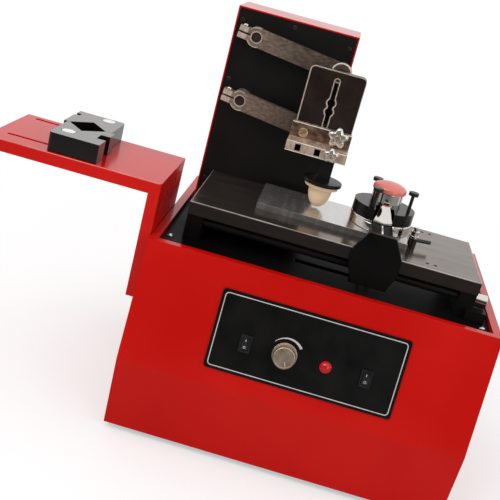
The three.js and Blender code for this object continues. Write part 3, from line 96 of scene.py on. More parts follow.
# Reliefs, as the scale of the noise, the strength of the bump and its distance in metres
GLOSS = (260, 0.04, 0.0003)
SATIN = (500, 0.05, 0.0003)
PLATED = (420, 0.05, 0.0002)
MACHINED = (500, 0.1, 0.0002)


def new_material(name):
    """A material with its node tree and its shader."""
    material = bpy.data.materials.new(name)
    material.use_nodes = True
    tree = material.node_tree
    return material, tree, tree.nodes["Principled BSDF"]


def position(tree, scale=(1, 1, 1)):
    """Object coordinates, stretched by scale."""
    coordinates = tree.nodes.new("ShaderNodeTexCoord")
    mapping = tree.nodes.new("ShaderNodeMapping")
    mapping.inputs["Scale"].default_value = scale
    tree.links.new(coordinates.outputs["Object"], mapping.inputs["Vector"])
    return mapping.outputs["Vector"]


def noise(tree, scale, detail=3, stretch=(1, 1, 1)):
    """Cloudy noise over the piece, from 0 to 1."""
    node = tree.nodes.new("ShaderNodeTexNoise")
    node.inputs["Scale"].default_value = scale
    node.inputs["Detail"].default_value = detail
    tree.links.new(position(tree, stretch), node.inputs["Vector"])
    return node.outputs["Fac"]


def spread(tree, value, low, high):
    """A noise value spread over low to high."""
    node = tree.nodes.new("ShaderNodeMapRange")
    node.inputs["From Min"].default_value = NOISE_LOW
    node.inputs["From Max"].default_value = NOISE_HIGH
    node.inputs["To Min"].default_value = low
    node.inputs["To Max"].default_value = high
    tree.links.new(value, node.inputs["Value"])
    return node.outputs["Result"]


def tint(tree, value, first, second):
    """A colour between first and second, by a noise value."""
    node = tree.nodes.new("ShaderNodeValToRGB")
    stops = node.color_ramp.elements
    stops[0].position, stops[0].color = NOISE_LOW, (*first, 1)
    stops[1].position, stops[1].color = NOISE_HIGH, (*second, 1)
    tree.links.new(value, node.inputs["Fac"])
    return node.outputs["Color"]


def bump(tree, shader, value, strength, distance):
    """Gives the shader a relief that follows a noise value."""
    node = tree.nodes.new("ShaderNodeBump")
    node.inputs["Strength"].default_value = strength
    node.inputs["Distance"].default_value = distance
    tree.links.new(value, node.inputs["Height"])
    tree.links.new(node.outputs["Normal"], shader.inputs["Normal"])


def finish_material(
    name, first, second, low, high, metal=0.0, grain=60, stretch=(1, 1, 1), relief=None, specular=0.5,
):
    """A finish that varies from one colour to another, and from low to high roughness, with one noise."""
    material, tree, shader = new_material(name)
    cloud = noise(tree, grain, 3, stretch)
    tree.links.new(tint(tree, cloud, first, second), shader.inputs["Base Color"])
    tree.links.new(spread(tree, cloud, low, high), shader.inputs["Roughness"])
    shader.inputs["Metallic"].default_value = metal
    shader.inputs["Specular IOR Level"].default_value = specular
    if relief:
        grain_scale, strength, distance = relief
        bump(tree, shader, noise(tree, grain_scale, 2, stretch), strength, distance)
    return material


RED = finish_material(
    "red_gloss_paint", (0.48, 0.003, 0.0012), (0.56, 0.0045, 0.0018), 0.13, 0.2, grain=9,
    relief=GLOSS, specular=0.32,
)
# The casing's red paint, made brighter on the bracket as painted light
LIT_BRACKET_RED = finish_material(
    "red_paint_lit_brighter", (0.54, 0.004, 0.0015), (0.63, 0.006, 0.0025), 0.13, 0.2, grain=12,
    relief=GLOSS, specular=0.32,
)
# Pale pinkish red for a line along the shelf's front edge, which is painted highlight
RED_EDGE_HIGHLIGHT = finish_material(
    "painted_highlight_red_edge", (0.7, 0.16, 0.12), (0.86, 0.34, 0.28), 0.2, 0.3, grain=60,
)
BLACK = finish_material(
    "black_gloss_paint", (0.005, 0.004, 0.0035), (0.009, 0.007, 0.006), 0.1, 0.18, grain=18,
    relief=(300, 0.03, 0.0003),
)
SATIN_BLACK = finish_material(
    "black_satin_paint", (0.005, 0.0042, 0.0038), (0.009, 0.0075, 0.007), 0.3, 0.42, grain=14,
    relief=SATIN, specular=0.35,
)
BED_BLACK = finish_material(
    "black_plated_bed", (0.13, 0.1, 0.083), (0.19, 0.15, 0.125), 0.14, 0.22, metal=0.85, grain=22,
    stretch=(1, 4, 1), relief=PLATED,
)
# Pale lines along the bed's edges, which are painted highlight
BED_EDGE_HIGHLIGHT = finish_material(
    "painted_highlight_bed_edge", (0.3, 0.27, 0.24), (0.62, 0.57, 0.52), 0.3, 0.42, metal=0.7, grain=60,
)
BED_SIDE = finish_material(
    "black_bed_side", (0.008, 0.004, 0.0035), (0.016, 0.009, 0.007), 0.16, 0.26, grain=30, stretch=(1, 1, 5),
    relief=PLATED, specular=0.4,
)
DEEP_BLACK = finish_material(
    "deep_black_paint", (0.003, 0.0028, 0.0027), (0.006, 0.0055, 0.005), 0.34, 0.46, grain=16,
    relief=SATIN, specular=0.1,
)
DECK_BLACK = finish_material(
    "deck_black_paint", (0.003, 0.0028, 0.0027), (0.0055, 0.005, 0.0048), 0.3, 0.42, grain=16,
    relief=SATIN, specular=0.03,
)
RING_BLACK = finish_material(
    "black_oxide", (0.005, 0.0042, 0.0038), (0.01, 0.0085, 0.0075), 0.12, 0.2, grain=40,
    relief=(500, 0.05, 0.0002), specular=0.16,
)
HEAD_BLACK = finish_material(
    "brown_black_plate", (0.007, 0.0045, 0.0035), (0.028, 0.016, 0.01), 0.2, 0.3, grain=24,
    relief=SATIN, specular=0.45,
)
# The cap's own red, lightened towards pink as painted sheen
CAP_RED_AND_SHEEN = finish_material(
    "red_cap_enamel_and_painted_sheen", (0.63, 0.12, 0.09), (0.72, 0.165, 0.13), 0.26, 0.34, grain=40, specular=1.0,
)
PLASTIC = finish_material(
    "black_plastic", (0.008, 0.008, 0.0085), (0.014, 0.014, 0.015), 0.3, 0.45, grain=120,
    relief=(900, 0.08, 0.0002), specular=0.4,
)
PANEL = finish_material(
    "panel_black", (0.0032, 0.0028, 0.0026), (0.0055, 0.0048, 0.0044), 0.28, 0.4, grain=40,
    relief=(1200, 0.05, 0.0001), specular=0.3,
)
# Machined chamfers of the head plate and arms: the chamfers are real, their pale cream is painted highlight
CHAMFER_HIGHLIGHT = finish_material(
    "machined_chamfer_painted_highlight", (0.4, 0.32, 0.25), (0.66, 0.55, 0.45), 0.24, 0.36, metal=0.25, grain=150,
)
# Near-white cream on the upper arm's tip and the head block's edges, which is painted highlight
PALE_EDGE_HIGHLIGHT = finish_material(
    "painted_highlight_pale_edge", (0.72, 0.62, 0.51), (0.94, 0.86, 0.75), 0.24, 0.36, grain=150,
)
STEEL = finish_material(
    "plain_steel", (0.3, 0.29, 0.28), (0.4, 0.39, 0.37), 0.35, 0.5, metal=1.0, grain=50,
)
DARK_STEEL = finish_material(
    "oiled_steel", (0.03, 0.024, 0.02), (0.06, 0.05, 0.042), 0.3, 0.45, metal=0.6, grain=50,
)
MIRROR = finish_material(
    "ground_steel", (0.56, 0.54, 0.52), (0.66, 0.645, 0.63), 0.2, 0.3, metal=0.9, grain=26, stretch=(6, 1, 1),
    relief=(500, 0.02, 0.0001),
)
POLISHED = finish_material(
    "polished_steel", (0.84, 0.82, 0.8), (0.92, 0.905, 0.89), 0.1, 0.16, metal=1.0, grain=40,
)
CHROME = finish_material(
    "bright_chrome", (0.68, 0.65, 0.61), (0.76, 0.73, 0.69), 0.05, 0.09, metal=1.0, grain=30,
)
KNOB_CHROME = finish_material(
    "knob_chrome", (0.72, 0.69, 0.64), (0.86, 0.83, 0.78), 0.08, 0.15, metal=0.8, grain=60,
)
ALUMINIUM = finish_material(
    "machined_aluminium", (0.36, 0.23, 0.16), (0.74, 0.58, 0.46), 0.2, 0.34, metal=0.4, grain=80,
    stretch=(2, 1, 1), relief=MACHINED,
)
# A darker copy of the head block's aluminium, as painted shade and dark reflection on its upper front
BLOCK_SHADE = finish_material(
    "painted_shade_aluminium", (0.1, 0.05, 0.035), (0.42, 0.28, 0.2), 0.2, 0.34, metal=0.75, grain=60,
    stretch=(2, 1, 3), relief=MACHINED,
)
CHAMPAGNE = finish_material(
    "anodised_knob", (0.5, 0.38, 0.28), (0.66, 0.53, 0.41), 0.24, 0.36, metal=0.8, grain=120,
    relief=(1500, 0.08, 0.0001),
)
GROUND = finish_material(
    "ground_grey", (0.24, 0.23, 0.225), (0.36, 0.345, 0.34), 0.28, 0.4, metal=0.8, grain=80,
    stretch=(1, 8, 1), relief=MACHINED,
)
BRASS = finish_material(
    "brass", (0.52, 0.35, 0.18), (0.72, 0.54, 0.34), 0.2, 0.32, metal=0.7, grain=60,
)
RUBBER = finish_material(
    "dark_rubber", (0.012, 0.012, 0.012), (0.02, 0.02, 0.02), 0.75, 0.9, grain=90, relief=(600, 0.15, 0.0003),
)
BOARD = finish_material(
    "green_board", (0.02, 0.12, 0.05), (0.03, 0.16, 0.07), 0.4, 0.5, grain=60,
)
PRINT = finish_material(
    "pale_print", (0.42, 0.41, 0.4), (0.55, 0.54, 0.53), 0.5, 0.6, grain=80,
)


def make_arm_steel():
    """Dull brown-grey steel with fine mottling, and painted shading that makes it paler towards the arms'
    clamped ends and darker towards the head.
    """
    material, tree, shader = new_material("brushed_steel")
    cloud = noise(tree, 240, 4, (1, 1, 2))
    colour = tint(tree, cloud, (0.2, 0.14, 0.105), (0.36, 0.27, 0.21))
    place = tree.nodes.new("ShaderNodeTexCoord")
    parts = tree.nodes.new("ShaderNodeSeparateXYZ")
    tree.links.new(place.outputs["Object"], parts.inputs["Vector"])
    # Painted shading: paler at the hubs, darker towards the head
    painted_shading = tree.nodes.new("ShaderNodeMapRange")
    for socket, value in (("From Min", -0.06), ("From Max", 0.0), ("To Min", 1.6), ("To Max", 0.7)):
        painted_shading.inputs[socket].default_value = value
    tree.links.new(parts.outputs["X"], painted_shading.inputs["Value"])
    scaled = tree.nodes.new("ShaderNodeVectorMath")
    scaled.operation = "SCALE"
    tree.links.new(colour, scaled.inputs["Vector"])
    tree.links.new(painted_shading.outputs["Result"], scaled.inputs["Scale"])
    tree.links.new(scaled.outputs["Vector"], shader.inputs["Base Color"])
    tree.links.new(spread(tree, cloud, 0.34, 0.5), shader.inputs["Roughness"])
    shader.inputs["Metallic"].default_value = 0.7
    bump(tree, shader, noise(tree, 420, 2), 0.14, 0.0002)
    return material


def make_silicone():
    """Cream silicone with a little light passing through it."""
    material, tree, shader = new_material("cream_silicone")
    cloud = noise(tree, 35, 3)
    tree.links.new(tint(tree, cloud, (0.8, 0.57, 0.36), (0.88, 0.66, 0.45)), shader.inputs["Base Color"])
    tree.links.new(spread(tree, cloud, 0.3, 0.42), shader.inputs["Roughness"])
    shader.inputs["Subsurface Weight"].default_value = 0.25
    shader.inputs["Subsurface Radius"].default_value = (0.004, 0.0025, 0.0015)
    shader.inputs["Subsurface Scale"].default_value = 1.0
    bump(tree, shader, noise(tree, 420, 2), 0.05, 0.0002)
    return material


def make_lens():
    """Clear-coated red plastic of the indicator lamp."""
    material, tree, shader = new_material("red_lens")
    cloud = noise(tree, 60, 2)
    tree.links.new(tint(tree, cloud, (0.5, 0.006, 0.01), (0.62, 0.01, 0.014)), shader.inputs["Base Color"])
    shader.inputs["Roughness"].default_value = 0.08
    shader.inputs["Coat Weight"].default_value = 0.4
    return material


BRUSHED = make_arm_steel()
SILICONE = make_silicone()
LENS = make_lens()

# The finish of each CAD node
FINISHES = {
    RED: ["body_shell", "tower_shell"],
    LIT_BRACKET_RED: ["work_bracket"],
    CAP_RED_AND_SHEEN: ["cup_cap"],
    BLACK: ["front_jaw", "rear_jaw", "plate_clamp_lever"],
    RING_BLACK: ["clamp_ring"],
    HEAD_BLACK: ["head_plate"],
    BED_BLACK: ["bed_plate"],
    SATIN_BLACK: ["tower_panel", "pad_post", "guide_rod"],
    DECK_BLACK: ["deck_plate", "carriage_bridge"],
    DEEP_BLACK: ["carriage_front", "bed_support_left", "bed_support_right", "slider_block"],
    PLASTIC: ["left_switch_housing", "left_rocker", "right_switch_housing", "right_rocker", "mains_inlet",
              "thumb_screw_right", "thumb_screw_rear", "thumb_screw_front"],
    PANEL: ["control_plate"],
    BRUSHED: ["upper_arm", "lower_arm"],
    STEEL: ["base_plate", "tower_frame", "upper_bearing", "lower_bearing", "arm_pulley", "motor_pulley",
            "gear_motor", "cup_lever", "bracket_screw_front", "bracket_screw_rear"],
    DARK_STEEL: ["upper_shaft", "lower_shaft"],
    MIRROR: ["steel_plate"],
    POLISHED: ["front_jaw_screw", "rear_jaw_screw"],
    CHROME: ["star_knob", "post_screw", "rod_knob", "wedge_nose", "ink_cup"],
    ALUMINIUM: ["head_block", "speed_knob"],
    RUBBER: ["foot_front_left", "foot_front_right", "foot_rear_left", "foot_rear_right", "arm_belt"],
    SILICONE: ["silicone_pad"],
    BOARD: ["speed_board"],
    LENS: ["indicator_lamp"],
}

# Edge roundings of the CAD nodes, in millimetres, and what the other nodes have
USUAL_ROUNDING = 0.3
ROUNDINGS = {
    "body_shell": 0.7, "tower_shell": 0.6, "work_bracket": 0.6, "bed_plate": 0.9, "carriage_front": 1.2,
    "head_plate": 0.9, "upper_arm": 0.7, "lower_arm": 0.7, "clamp_ring": 0.8, "ink_cup": 0.5,
    "front_jaw": 0.6, "rear_jaw": 0.6, "wedge_nose": 0.7, "head_block": 0.6, "steel_plate": 0.5,
    "cup_cap": 0.6, "pad_post": 0.5,
}

# Edges of more than this many degrees are rounded
USUAL_LIMIT = 35
# The casing's crease is a shallow fold of twelve degrees, and is rounded too
EDGE_LIMITS = {"body_shell": 9}

# Edges of more than this many degrees stay sharp in shading, on the CAD nodes and on added pieces
NODE_SHARP, SHARP = 34, 32

# Heights in metres over which the jaws are ground, the lever is chromed and the head block's front gets
# painted shade
JAW_GROUND, LEVER_CHROME, BLOCK_LEDGE = 0.258, 0.2337, 0.2911
# Where the head block's two holes are, in metres back from the casing's front and up from the floor
HOLE_BACK, HOLE_UP = (0.1246, 0.131), (0.2825, 0.2895)

# Second finishes of some nodes, each on the faces that its rule picks


def above(height):
    return lambda face: face.center.z > height


# Faces of the head block's upper front, which get painted shade
def block_front(face):
    return face.normal.y < -0.5 and face.center.z > BLOCK_LEDGE


# Faces inside the head block's two holes, painted deep black as painted shade
def block_hole(face):
    back, up = face.center.y + ORIGIN.y * MM, face.center.z
    return HOLE_BACK[0] < back < HOLE_BACK[1] and HOLE_UP[0] < up < HOLE_UP[1]


OTHER_FACES = {
    "front_jaw": [(GROUND, above(JAW_GROUND))],
    "rear_jaw": [(GROUND, above(JAW_GROUND))],
    "plate_clamp_lever": [(CHROME, above(LEVER_CHROME))],
    "bed_plate": [(BED_SIDE, lambda face: face.normal.z < 0.5)],
    "head_block": [(BLOCK_SHADE, block_front), (DEEP_BLACK, block_hole)],
}


def round_edges(piece, width, limit):
    """Rounds by width millimetres the edges that turn by more than limit degrees."""
    weld = piece.modifiers.new("weld", "WELD")
    weld.merge_threshold = 0.00001
    bevel = piece.modifiers.new("bevel", "BEVEL")
    bevel.width = width * MM
    bevel.segments = 2
    bevel.limit_method = "ANGLE"
    bevel.angle_limit = math.radians(limit)
    bevel.use_clamp_overlap = True
    split = piece.modifiers.new("split", "EDGE_SPLIT")
    split.split_angle = math.radians(NODE_SHARP)
    even = piece.modifiers.new("even", "WEIGHTED_NORMAL")
    even.weight = 80
    even.keep_sharp = True


def dress(node_name, finish):
    """Gives a CAD node its finish, its second finishes and its rounded edges."""
    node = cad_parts[node_name]
    faces = node.data.polygons
    node.data.materials.clear()
    node.data.materials.append(finish)
    faces.foreach_set("use_smooth", [True] * len(faces))
    for index, (other, rule) in enumerate(OTHER_FACES.get(node_name, [])):
        node.data.materials.append(other)
        for face in faces:
            if rule(face):
                face.material_index = index + 1
    round_edges(node, ROUNDINGS.get(node_name, USUAL_ROUNDING), EDGE_LIMITS.get(node_name, USUAL_LIMIT))


for finish, names in FINISHES.items():
    for node_name in names:
        dress(node_name, finish)


# Pieces that the looks add to the CAD nodes


def add_piece(name, points, faces, material, body, sharp=SHARP):
    """A new mesh that rides on a body, smooth but for edges of more than sharp degrees."""
    data = bpy.data.meshes.new(name)
    data.from_pydata(points, [], faces)
    mesh = bmesh.new()
    mesh.from_mesh(data)
    bmesh.ops.recalc_face_normals(mesh, faces=mesh.faces)
    mesh.to_mesh(data)
    mesh.free()
    data.materials.append(material)
    data.polygons.foreach_set("use_smooth", [True] * len(data.polygons))
    data.set_sharp_from_angle(angle=math.radians(sharp))
    piece = bpy.data.objects.new(name, data)
    bpy.context.collection.objects.link(piece)
    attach(piece, body)
    return piece


def loft(rings):
    """Faces between each ring of point numbers and the next; a ring of one number is a tip."""
    faces = []
    for low, high in zip(rings, rings[1:]):
        sides = max(len(low), len(high))
        for side in range(sides):
            after = (side + 1) % sides
            if len(low) == 1:
                faces.append((low[0], high[after], high[side]))
            elif len(high) == 1:
                faces.append((low[side], low[after], high[0]))
            else:
                faces.append((low[side], low[after], high[after], high[side]))
    return faces


def spun(name, rows, place, material, body, sides, sharp=SHARP):
    """Rings about the place's third axis, from rows of a height and a rule that gives the reach at an angle.

    A row whose rule is None is a single point on the axis. Lengths are in millimetres.
    """
    points, rings = [], []
    for height, reach in rows:
        ring = []
        for side in range(sides if reach else 1):
            angle = 2 * math.pi * side / sides
            far = reach(angle) if reach else 0
            ring.append(len(points))
            corner = (far * math.cos(angle) * MM, far * math.sin(angle) * MM, height * MM)
            points.append(place @ Vector(corner))
        rings.append(ring)
    return add_piece(name, points, loft(rings), material, body, sharp)


def turned(name, profile, place, material, body, sides, teeth=0):
    """A profile of (radius, height, tooth depth) in millimetres, turned about the place's third axis."""
    def toothed(radius, depth):
        return lambda angle: radius - depth * (0.5 - 0.5 * math.cos(angle * teeth))

    rows = [(height, toothed(radius, depth) if radius else None) for radius, height, depth in profile]
    return spun(name, rows, place, material, body, sides)


def strip(name, inner, outer, thickness, place, material, body, closed=True):
    """A flat band between two rows of (across, up) points in millimetres."""
    points, faces = [], []
    count = len(inner)
    for height in (0, thickness):
        for row in (inner, outer):
            points += [place @ Vector((x * MM, y * MM, height * MM)) for x, y in row]
    last = count if closed else count - 1
    for index in range(last):
        after = (index + 1) % count
        quads = ((2, 3), (3, 1), (0, 2), (1, 0))
        for first, second in quads:
            faces.append((first * count + index, second * count + index,
                          second * count + after, first * count + after))
    if not closed:
        faces.append((0, count, 3 * count, 2 * count))
        end = count - 1
        faces.append((end, 2 * count + end, 3 * count + end, count + end))
    return add_piece(name, points, faces, material, body, sharp=20)


def rounded_loop(left, right, low, high, radius, steps=6):
    """Points around a rectangle with rounded corners."""
    loop = []
    corners = ((right - radius, low + radius, -90), (right - radius, high - radius, 0),
               (left + radius, high - radius, 90), (left + radius, low + radius, 180))
    for x, y, start in corners:
        for step in range(steps + 1):
            angle = math.radians(start + 90 * step / steps)
            loop.append((x + radius * math.cos(angle), y + radius * math.sin(angle)))
    return loop


def circle(radius, steps=40, start=0.0, end=360.0):
    """Points on an arc; a whole circle leaves out its last point."""
    count = steps if end - start >= 360 else steps + 1
    turn = math.radians(end - start) / steps
    angles = [math.radians(start) + turn * step for step in range(count)]
    return [(radius * math.cos(angle), radius * math.sin(angle)) for angle in angles]


def key_outline(low, high, half, holes, radius, steps=60):
    """Outline of an upright slot with round holes on its line, half a width to each side."""
    def reach(height):
        spans = [math.sqrt(max(0.0, radius ** 2 - (height - hole) ** 2)) for hole in holes]
        end = max(0.0, low + half - height, height - (high - half))
        spans.append(math.sqrt(max(0.0, half ** 2 - end ** 2)))
        return max(spans)

    shares = [0.5 - 0.5 * math.cos(math.pi * step / steps) for step in range(steps + 1)]
    rows = [low + (high - low) * share for share in shares]
    right = [(reach(row), row) for row in rows]
    return right + [(-across, row) for across, row in reversed(right)]


def shifted(x, y, z):
    """A shift in millimetres, for use within a placement."""
    return Matrix.Translation((x * MM, y * MM, z * MM))


def facing(point, axis, turn=0.0):
    """Placement with the third axis along axis, turned by turn degrees about it."""
    matrix = Vector(axis).to_track_quat("Z", "Y").to_matrix().to_4x4()
    matrix = matrix @ Matrix.Rotation(math.radians(turn), 4, "Z")
    return Matrix.Translation(point) @ matrix


def front_plane(x, y, z, droop=0.0):
    """Placement facing the front: across, up and out, tilted down to the right by droop degrees."""
    angle = math.radians(droop)
    across = Vector((math.cos(angle), 0, -math.sin(angle)))
    up = Vector((math.sin(angle), 0, math.cos(angle)))
    basis = Matrix((across, up, Vector(FRONT))).transposed().to_4x4()
    basis.translation = at(x, y, z)
    return basis


def highlight_line(name, start, end, radius, material, body):
    """A fine painted highlight along an edge: a thin round bar let into the edge of a plate, between two
    places on the machine.
    """
    first, last = at(*start), at(*end)
    along = last - first
    length = along.length / MM
    profile = [(0, 0, 0), (radius, 0, 0), (radius, length, 0), (0, length, 0)]
    return turned(name, profile, facing(first, along), material, body, 10)


def cut_piece(piece, cutter_data):
    """Takes the cutter out of the piece, in mesh form, and keeps no modifier."""
    cutter = bpy.data.objects.new(cutter_data.name, cutter_data)
    bpy.context.collection.objects.link(cutter)
    carve = piece.modifiers.new("carve", "BOOLEAN")
    carve.operation = "DIFFERENCE"
    carve.solver = "EXACT"
    carve.object = cutter
    bpy.context.view_layer.update()
    carved = piece.evaluated_get(bpy.context.evaluated_depsgraph_get())
    ready = bpy.data.meshes.new_from_object(carved)
    piece.modifiers.clear()
    piece.data = ready
    ready.set_sharp_from_angle(angle=math.radians(SHARP))
    bpy.data.objects.remove(cutter)


def screw_head(name, point, axis, radius, height, material, body, slot_width, turn=0.0, sides=40):
    """A low domed head with a driving slot across it."""
    place = facing(point, axis, turn)
    profile = [(0, 0, 0), (radius, 0, 0), (radius, height * 0.45, 0), (radius * 0.93, height * 0.72, 0),
               (radius * 0.74, height * 0.93, 0), (radius * 0.4, height, 0), (0, height, 0)]
    head = turned(name, profile, place, material, body, sides)
    cutter_data = bpy.data.meshes.new(name + "_slot")
    half, reach = slot_width / 2, radius * 2
    low, high = height * 0.45, height * 1.5
    corners = [(x, y, z) for z in (low, high)
               for x, y in ((-reach, -half), (reach, -half), (reach, half), (-reach, half))]
    cutter_data.from_pydata(
        [place @ (Vector(corner) * MM) for corner in corners], [],
        [(3, 2, 1, 0), (4, 5, 6, 7), (0, 1, 5, 4), (1, 2, 6, 5), (2, 3, 7, 6), (3, 0, 4, 7)],
    )
    cut_piece(head, cutter_data)
    return head


# Places and directions on the machine, in millimetres from the casing's left front corner

FRONT, BACK, UP = (0, -1, 0), (0, 1, 0), (0, 0, 1)
# The control plate on the slope, and the controls as shares of its height and width
PANEL_LEFT, PANEL_WIDTH, PANEL_LOW, PANEL_TALL, PANEL_CORNER = 78.6, 176.2, 16.7, 75.3, 6.4
CONTROL_ROW = PANEL_LOW + PANEL_TALL * 0.409
KNOB_X = PANEL_LEFT + PANEL_WIDTH * 0.3916
ROCKERS = (("left", 0.1816), ("right", 0.8224))
# The print's underside over the slope, and its thickness
PRINT_SEAT, PRINT_DEEP = 1.82, 0.08
# A rocker's tilt in degrees, its pivot over its seat, its height at the middle, and its rise over a reach
ROCKER_TILT, ROCKER_PIVOT, ROCKER_MIDDLE, ROCKER_RISE, ROCKER_REACH = -10, 1.1, 0.79, 0.7, 5.19
# A rocker mark's distance from the middle, its thickness and its gap over the face
MARK_UP, MARK_DEEP, MARK_GAP = 3.1, 0.06, 0.04
# Axes of the square post and the ink cup, the pad's lowest point, and the bridge's ends and top
POST, CUP = (138.536, 136.5), (204.04, 136.5)
PAD_BOTTOM = 231
BRIDGE_FRONT, BRIDGE_BACK, BRIDGE_TOP = 61.0, 93.6, 242
# The head plate's lower left corner, and the front of each arm with the height of its shaft
HEAD_PLATE = (96.536, 157, 276)
ARMS = (("upper", 176.0, 370.01), ("lower", 166.0, 306.51))
# The shafts' place across, the arms' droop in degrees and their reach, and the thickness of the chamfer bands
ARM_X, ARM_DROOP, ARM_REACH = 36, 7.4, 91.7
CHAMFER_DEEP = 0.05
# Where the two star screws leave the head, and how far they stand out
STAR, STAR_DEEP = (141.04, 148.7, 302.0), 12
POST_SCREW, POST_SCREW_DEEP = (139.04, 124.2, 287.6), 6
# Faces that the small screws sit on
DECK_TOP, TOWER_FACE, CASING_BACK, TOWER_BACK = 186.3, 187.1, 261.35, 251.35


def make_pad():
    """Silicone pad: a flange, a small fillet under it, and a blunt dome."""
    steps, dome_radius, dome_height = 24, 11.8, 19.6
    profile = [(0, 24.3, 0), (16.3, 24.3, 0), (16.7, 24.1, 0), (16.8, 23.7, 0), (16.8, 21.5, 0),
               (16.6, 21.0, 0), (16.1, 20.8, 0), (13.4, 20.6, 0), (12.4, 20.3, 0), (11.9, 19.6, 0)]
    for step in range(1, steps + 1):
        angle = math.pi / 2 * step / steps
        radius = 0 if step == steps else dome_radius * math.cos(angle) ** 0.92
        profile.append((radius, dome_height * (1 - math.sin(angle)), 0))
    place = Matrix.Translation(at(*POST, PAD_BOTTOM))
    pad = turned("silicone_pad_body", profile[::-1], place, SILICONE, "pad_carrier", 72)
    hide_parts("silicone_pad")


def make_speed_dial():
    """Turned knob with a fine grip, a dished face and a pointer line."""
    place = slope_matrix(KNOB_X, CONTROL_ROW, FACE)
    profile = [(0, 0.1, 0), (11.5, 0.1, 0), (11.65, 0.3, 0), (11.65, 2.0, 0), (11.3, 2.4, 0),
               (10.75, 2.5, 0), (10.7, 2.9, 0), (10.7, 3.3, 0.5), (10.2, 11.2, 0.5), (10.1, 11.6, 0),
               (9.9, 12.6, 0), (9.4, 13, 0), (8.7, 13, 0), (8.4, 12.6, 0), (4.0, 12.45, 0), (0, 12.4, 0)]
    dial = turned("speed_dial_knob", profile, place, CHAMPAGNE, "speed_dial", 192, 48)
    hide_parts("speed_knob")
    along = place @ Matrix.Rotation(math.radians(-68), 4, "Z") @ shifted(0, 0, 12.62)
    rows = [[(across, side) for across in (3.2, 8.2)] for side in (-0.35, 0.35)]
    pointer = strip("speed_dial_pointer", *rows, 0.12, along, PRINT, "speed_dial", closed=False)


def make_rocker_mark(side, pivot, mark, up):
    """The bar or the ring of ON or OFF, laid on its half of the rocker."""
    lean = Matrix.Rotation(math.atan2(ROCKER_RISE, ROCKER_REACH) * (1 if up > 0 else -1), 4, "X")
    height = ROCKER_MIDDLE + ROCKER_RISE * abs(up) / ROCKER_REACH + MARK_GAP
    seat = pivot @ shifted(0, up, height) @ lean
    name, body = f"{side}_rocker_{mark}_mark", f"{side}_switch"
    if mark == "on":
        rows = [[(across, along) for along in (-1.1, 1.1)] for across in (0.3, -0.3)]
        piece = strip(name, *rows, MARK_DEEP, seat, PRINT, body, closed=False)
    else:
        piece = strip(name, circle(0.75, 20), circle(1.15, 20), MARK_DEEP, seat, PRINT, body)


def make_panel_print():
    """Pale border line, the dial's widening arc, and the marks on the rockers."""
    place = slope_matrix(0, 0, PRINT_SEAT)
    right, high = PANEL_LEFT + PANEL_WIDTH, PANEL_LOW + PANEL_TALL
    outer, inner = [rounded_loop(PANEL_LEFT + inset, right - inset, PANEL_LOW + inset, high - inset,
                                 PANEL_CORNER - inset) for inset in (2.7, 3.6)]
    border = strip("panel_border_line", inner, outer, PRINT_DEEP, place, PRINT, "casing")
    steps, start, sweep, radius, least, growth = 24, 140, 104, 15.0, 15.5, 1.9
    inner, outer = [], []
    for step in range(steps + 1):
        angle = math.radians(start - sweep * step / steps)
        for row, reach in ((inner, radius), (outer, least + growth * step / steps)):
            row.append((KNOB_X + reach * math.cos(angle), CONTROL_ROW + reach * math.sin(angle)))
    arc = strip("speed_scale_arc", outer, inner, PRINT_DEEP, place, PRINT, "casing", closed=False)
    tilt = Matrix.Rotation(math.radians(ROCKER_TILT), 4, "X")
    for side, share in ROCKERS:
        pivot = slope_matrix(PANEL_LEFT + PANEL_WIDTH * share, CONTROL_ROW, FACE + ROCKER_PIVOT) @ tilt
        make_rocker_mark(side, pivot, "off", -MARK_UP)
        make_rocker_mark(side, pivot, "on", MARK_UP)


def make_screws():
    """Slotted heads on the head block, the star screws, the deck, the tower and the back."""
    place = at(106.8, 149, 296.5)
    big = screw_head("block_fixing_screw", place, FRONT, 4.8, 1.9, BRASS, "pad_carrier", 1.1, 35)
    centres = (("star_knob_centre", STAR, STAR_DEEP, 3.3, "height_knob"),
               ("post_screw_centre", POST_SCREW, POST_SCREW_DEEP, 2.4, "post_clamp"))
    for name, (x, y, z), deep, radius, body in centres:
        piece = screw_head(name, at(x, y - deep, z), FRONT, radius, 0.9, BRASS, body, 0.7, 70)
    for number, (x, y) in enumerate(((315, 50), (315, 240), (14, 60), (170, 246))):
        name, place = f"deck_screw_{number + 1}", at(x, y, DECK_TOP)
        piece = screw_head(name, place, UP, 3.1, 1.6, CHROME, "casing", 0.7, 20 * number)
    spots = ((17.5, 382), (17.5, 322), (17.5, 214), (128, 382), (128, 240), (70, 388), (70, 204))
    for number, (x, z) in enumerate(spots):
        name, place = f"tower_screw_{number + 1}", at(x, TOWER_FACE, z)
        piece = screw_head(name, place, FRONT, 2.3, 0.9, DARK_STEEL, "casing", 0.5, 33 * number, 24)
    low = ((20, 15), (165, 15), (310, 15))
    high = ((18, 384), (127, 384), (18, 200), (127, 200))
    rear = [(f"back_screw_{number + 1}", at(x, CASING_BACK, z), 2.6) for number, (x, z) in enumerate(low)]
    rear += [(f"tower_back_screw_{number + 1}", at(x, TOWER_BACK, z), 2.3)
             for number, (x, z) in enumerate(high)]
    for number, (name, place, radius) in enumerate(rear):
        piece = screw_head(name, place, BACK, radius, 1.1, DARK_STEEL, "casing", 0.5, 27 * number, 24)


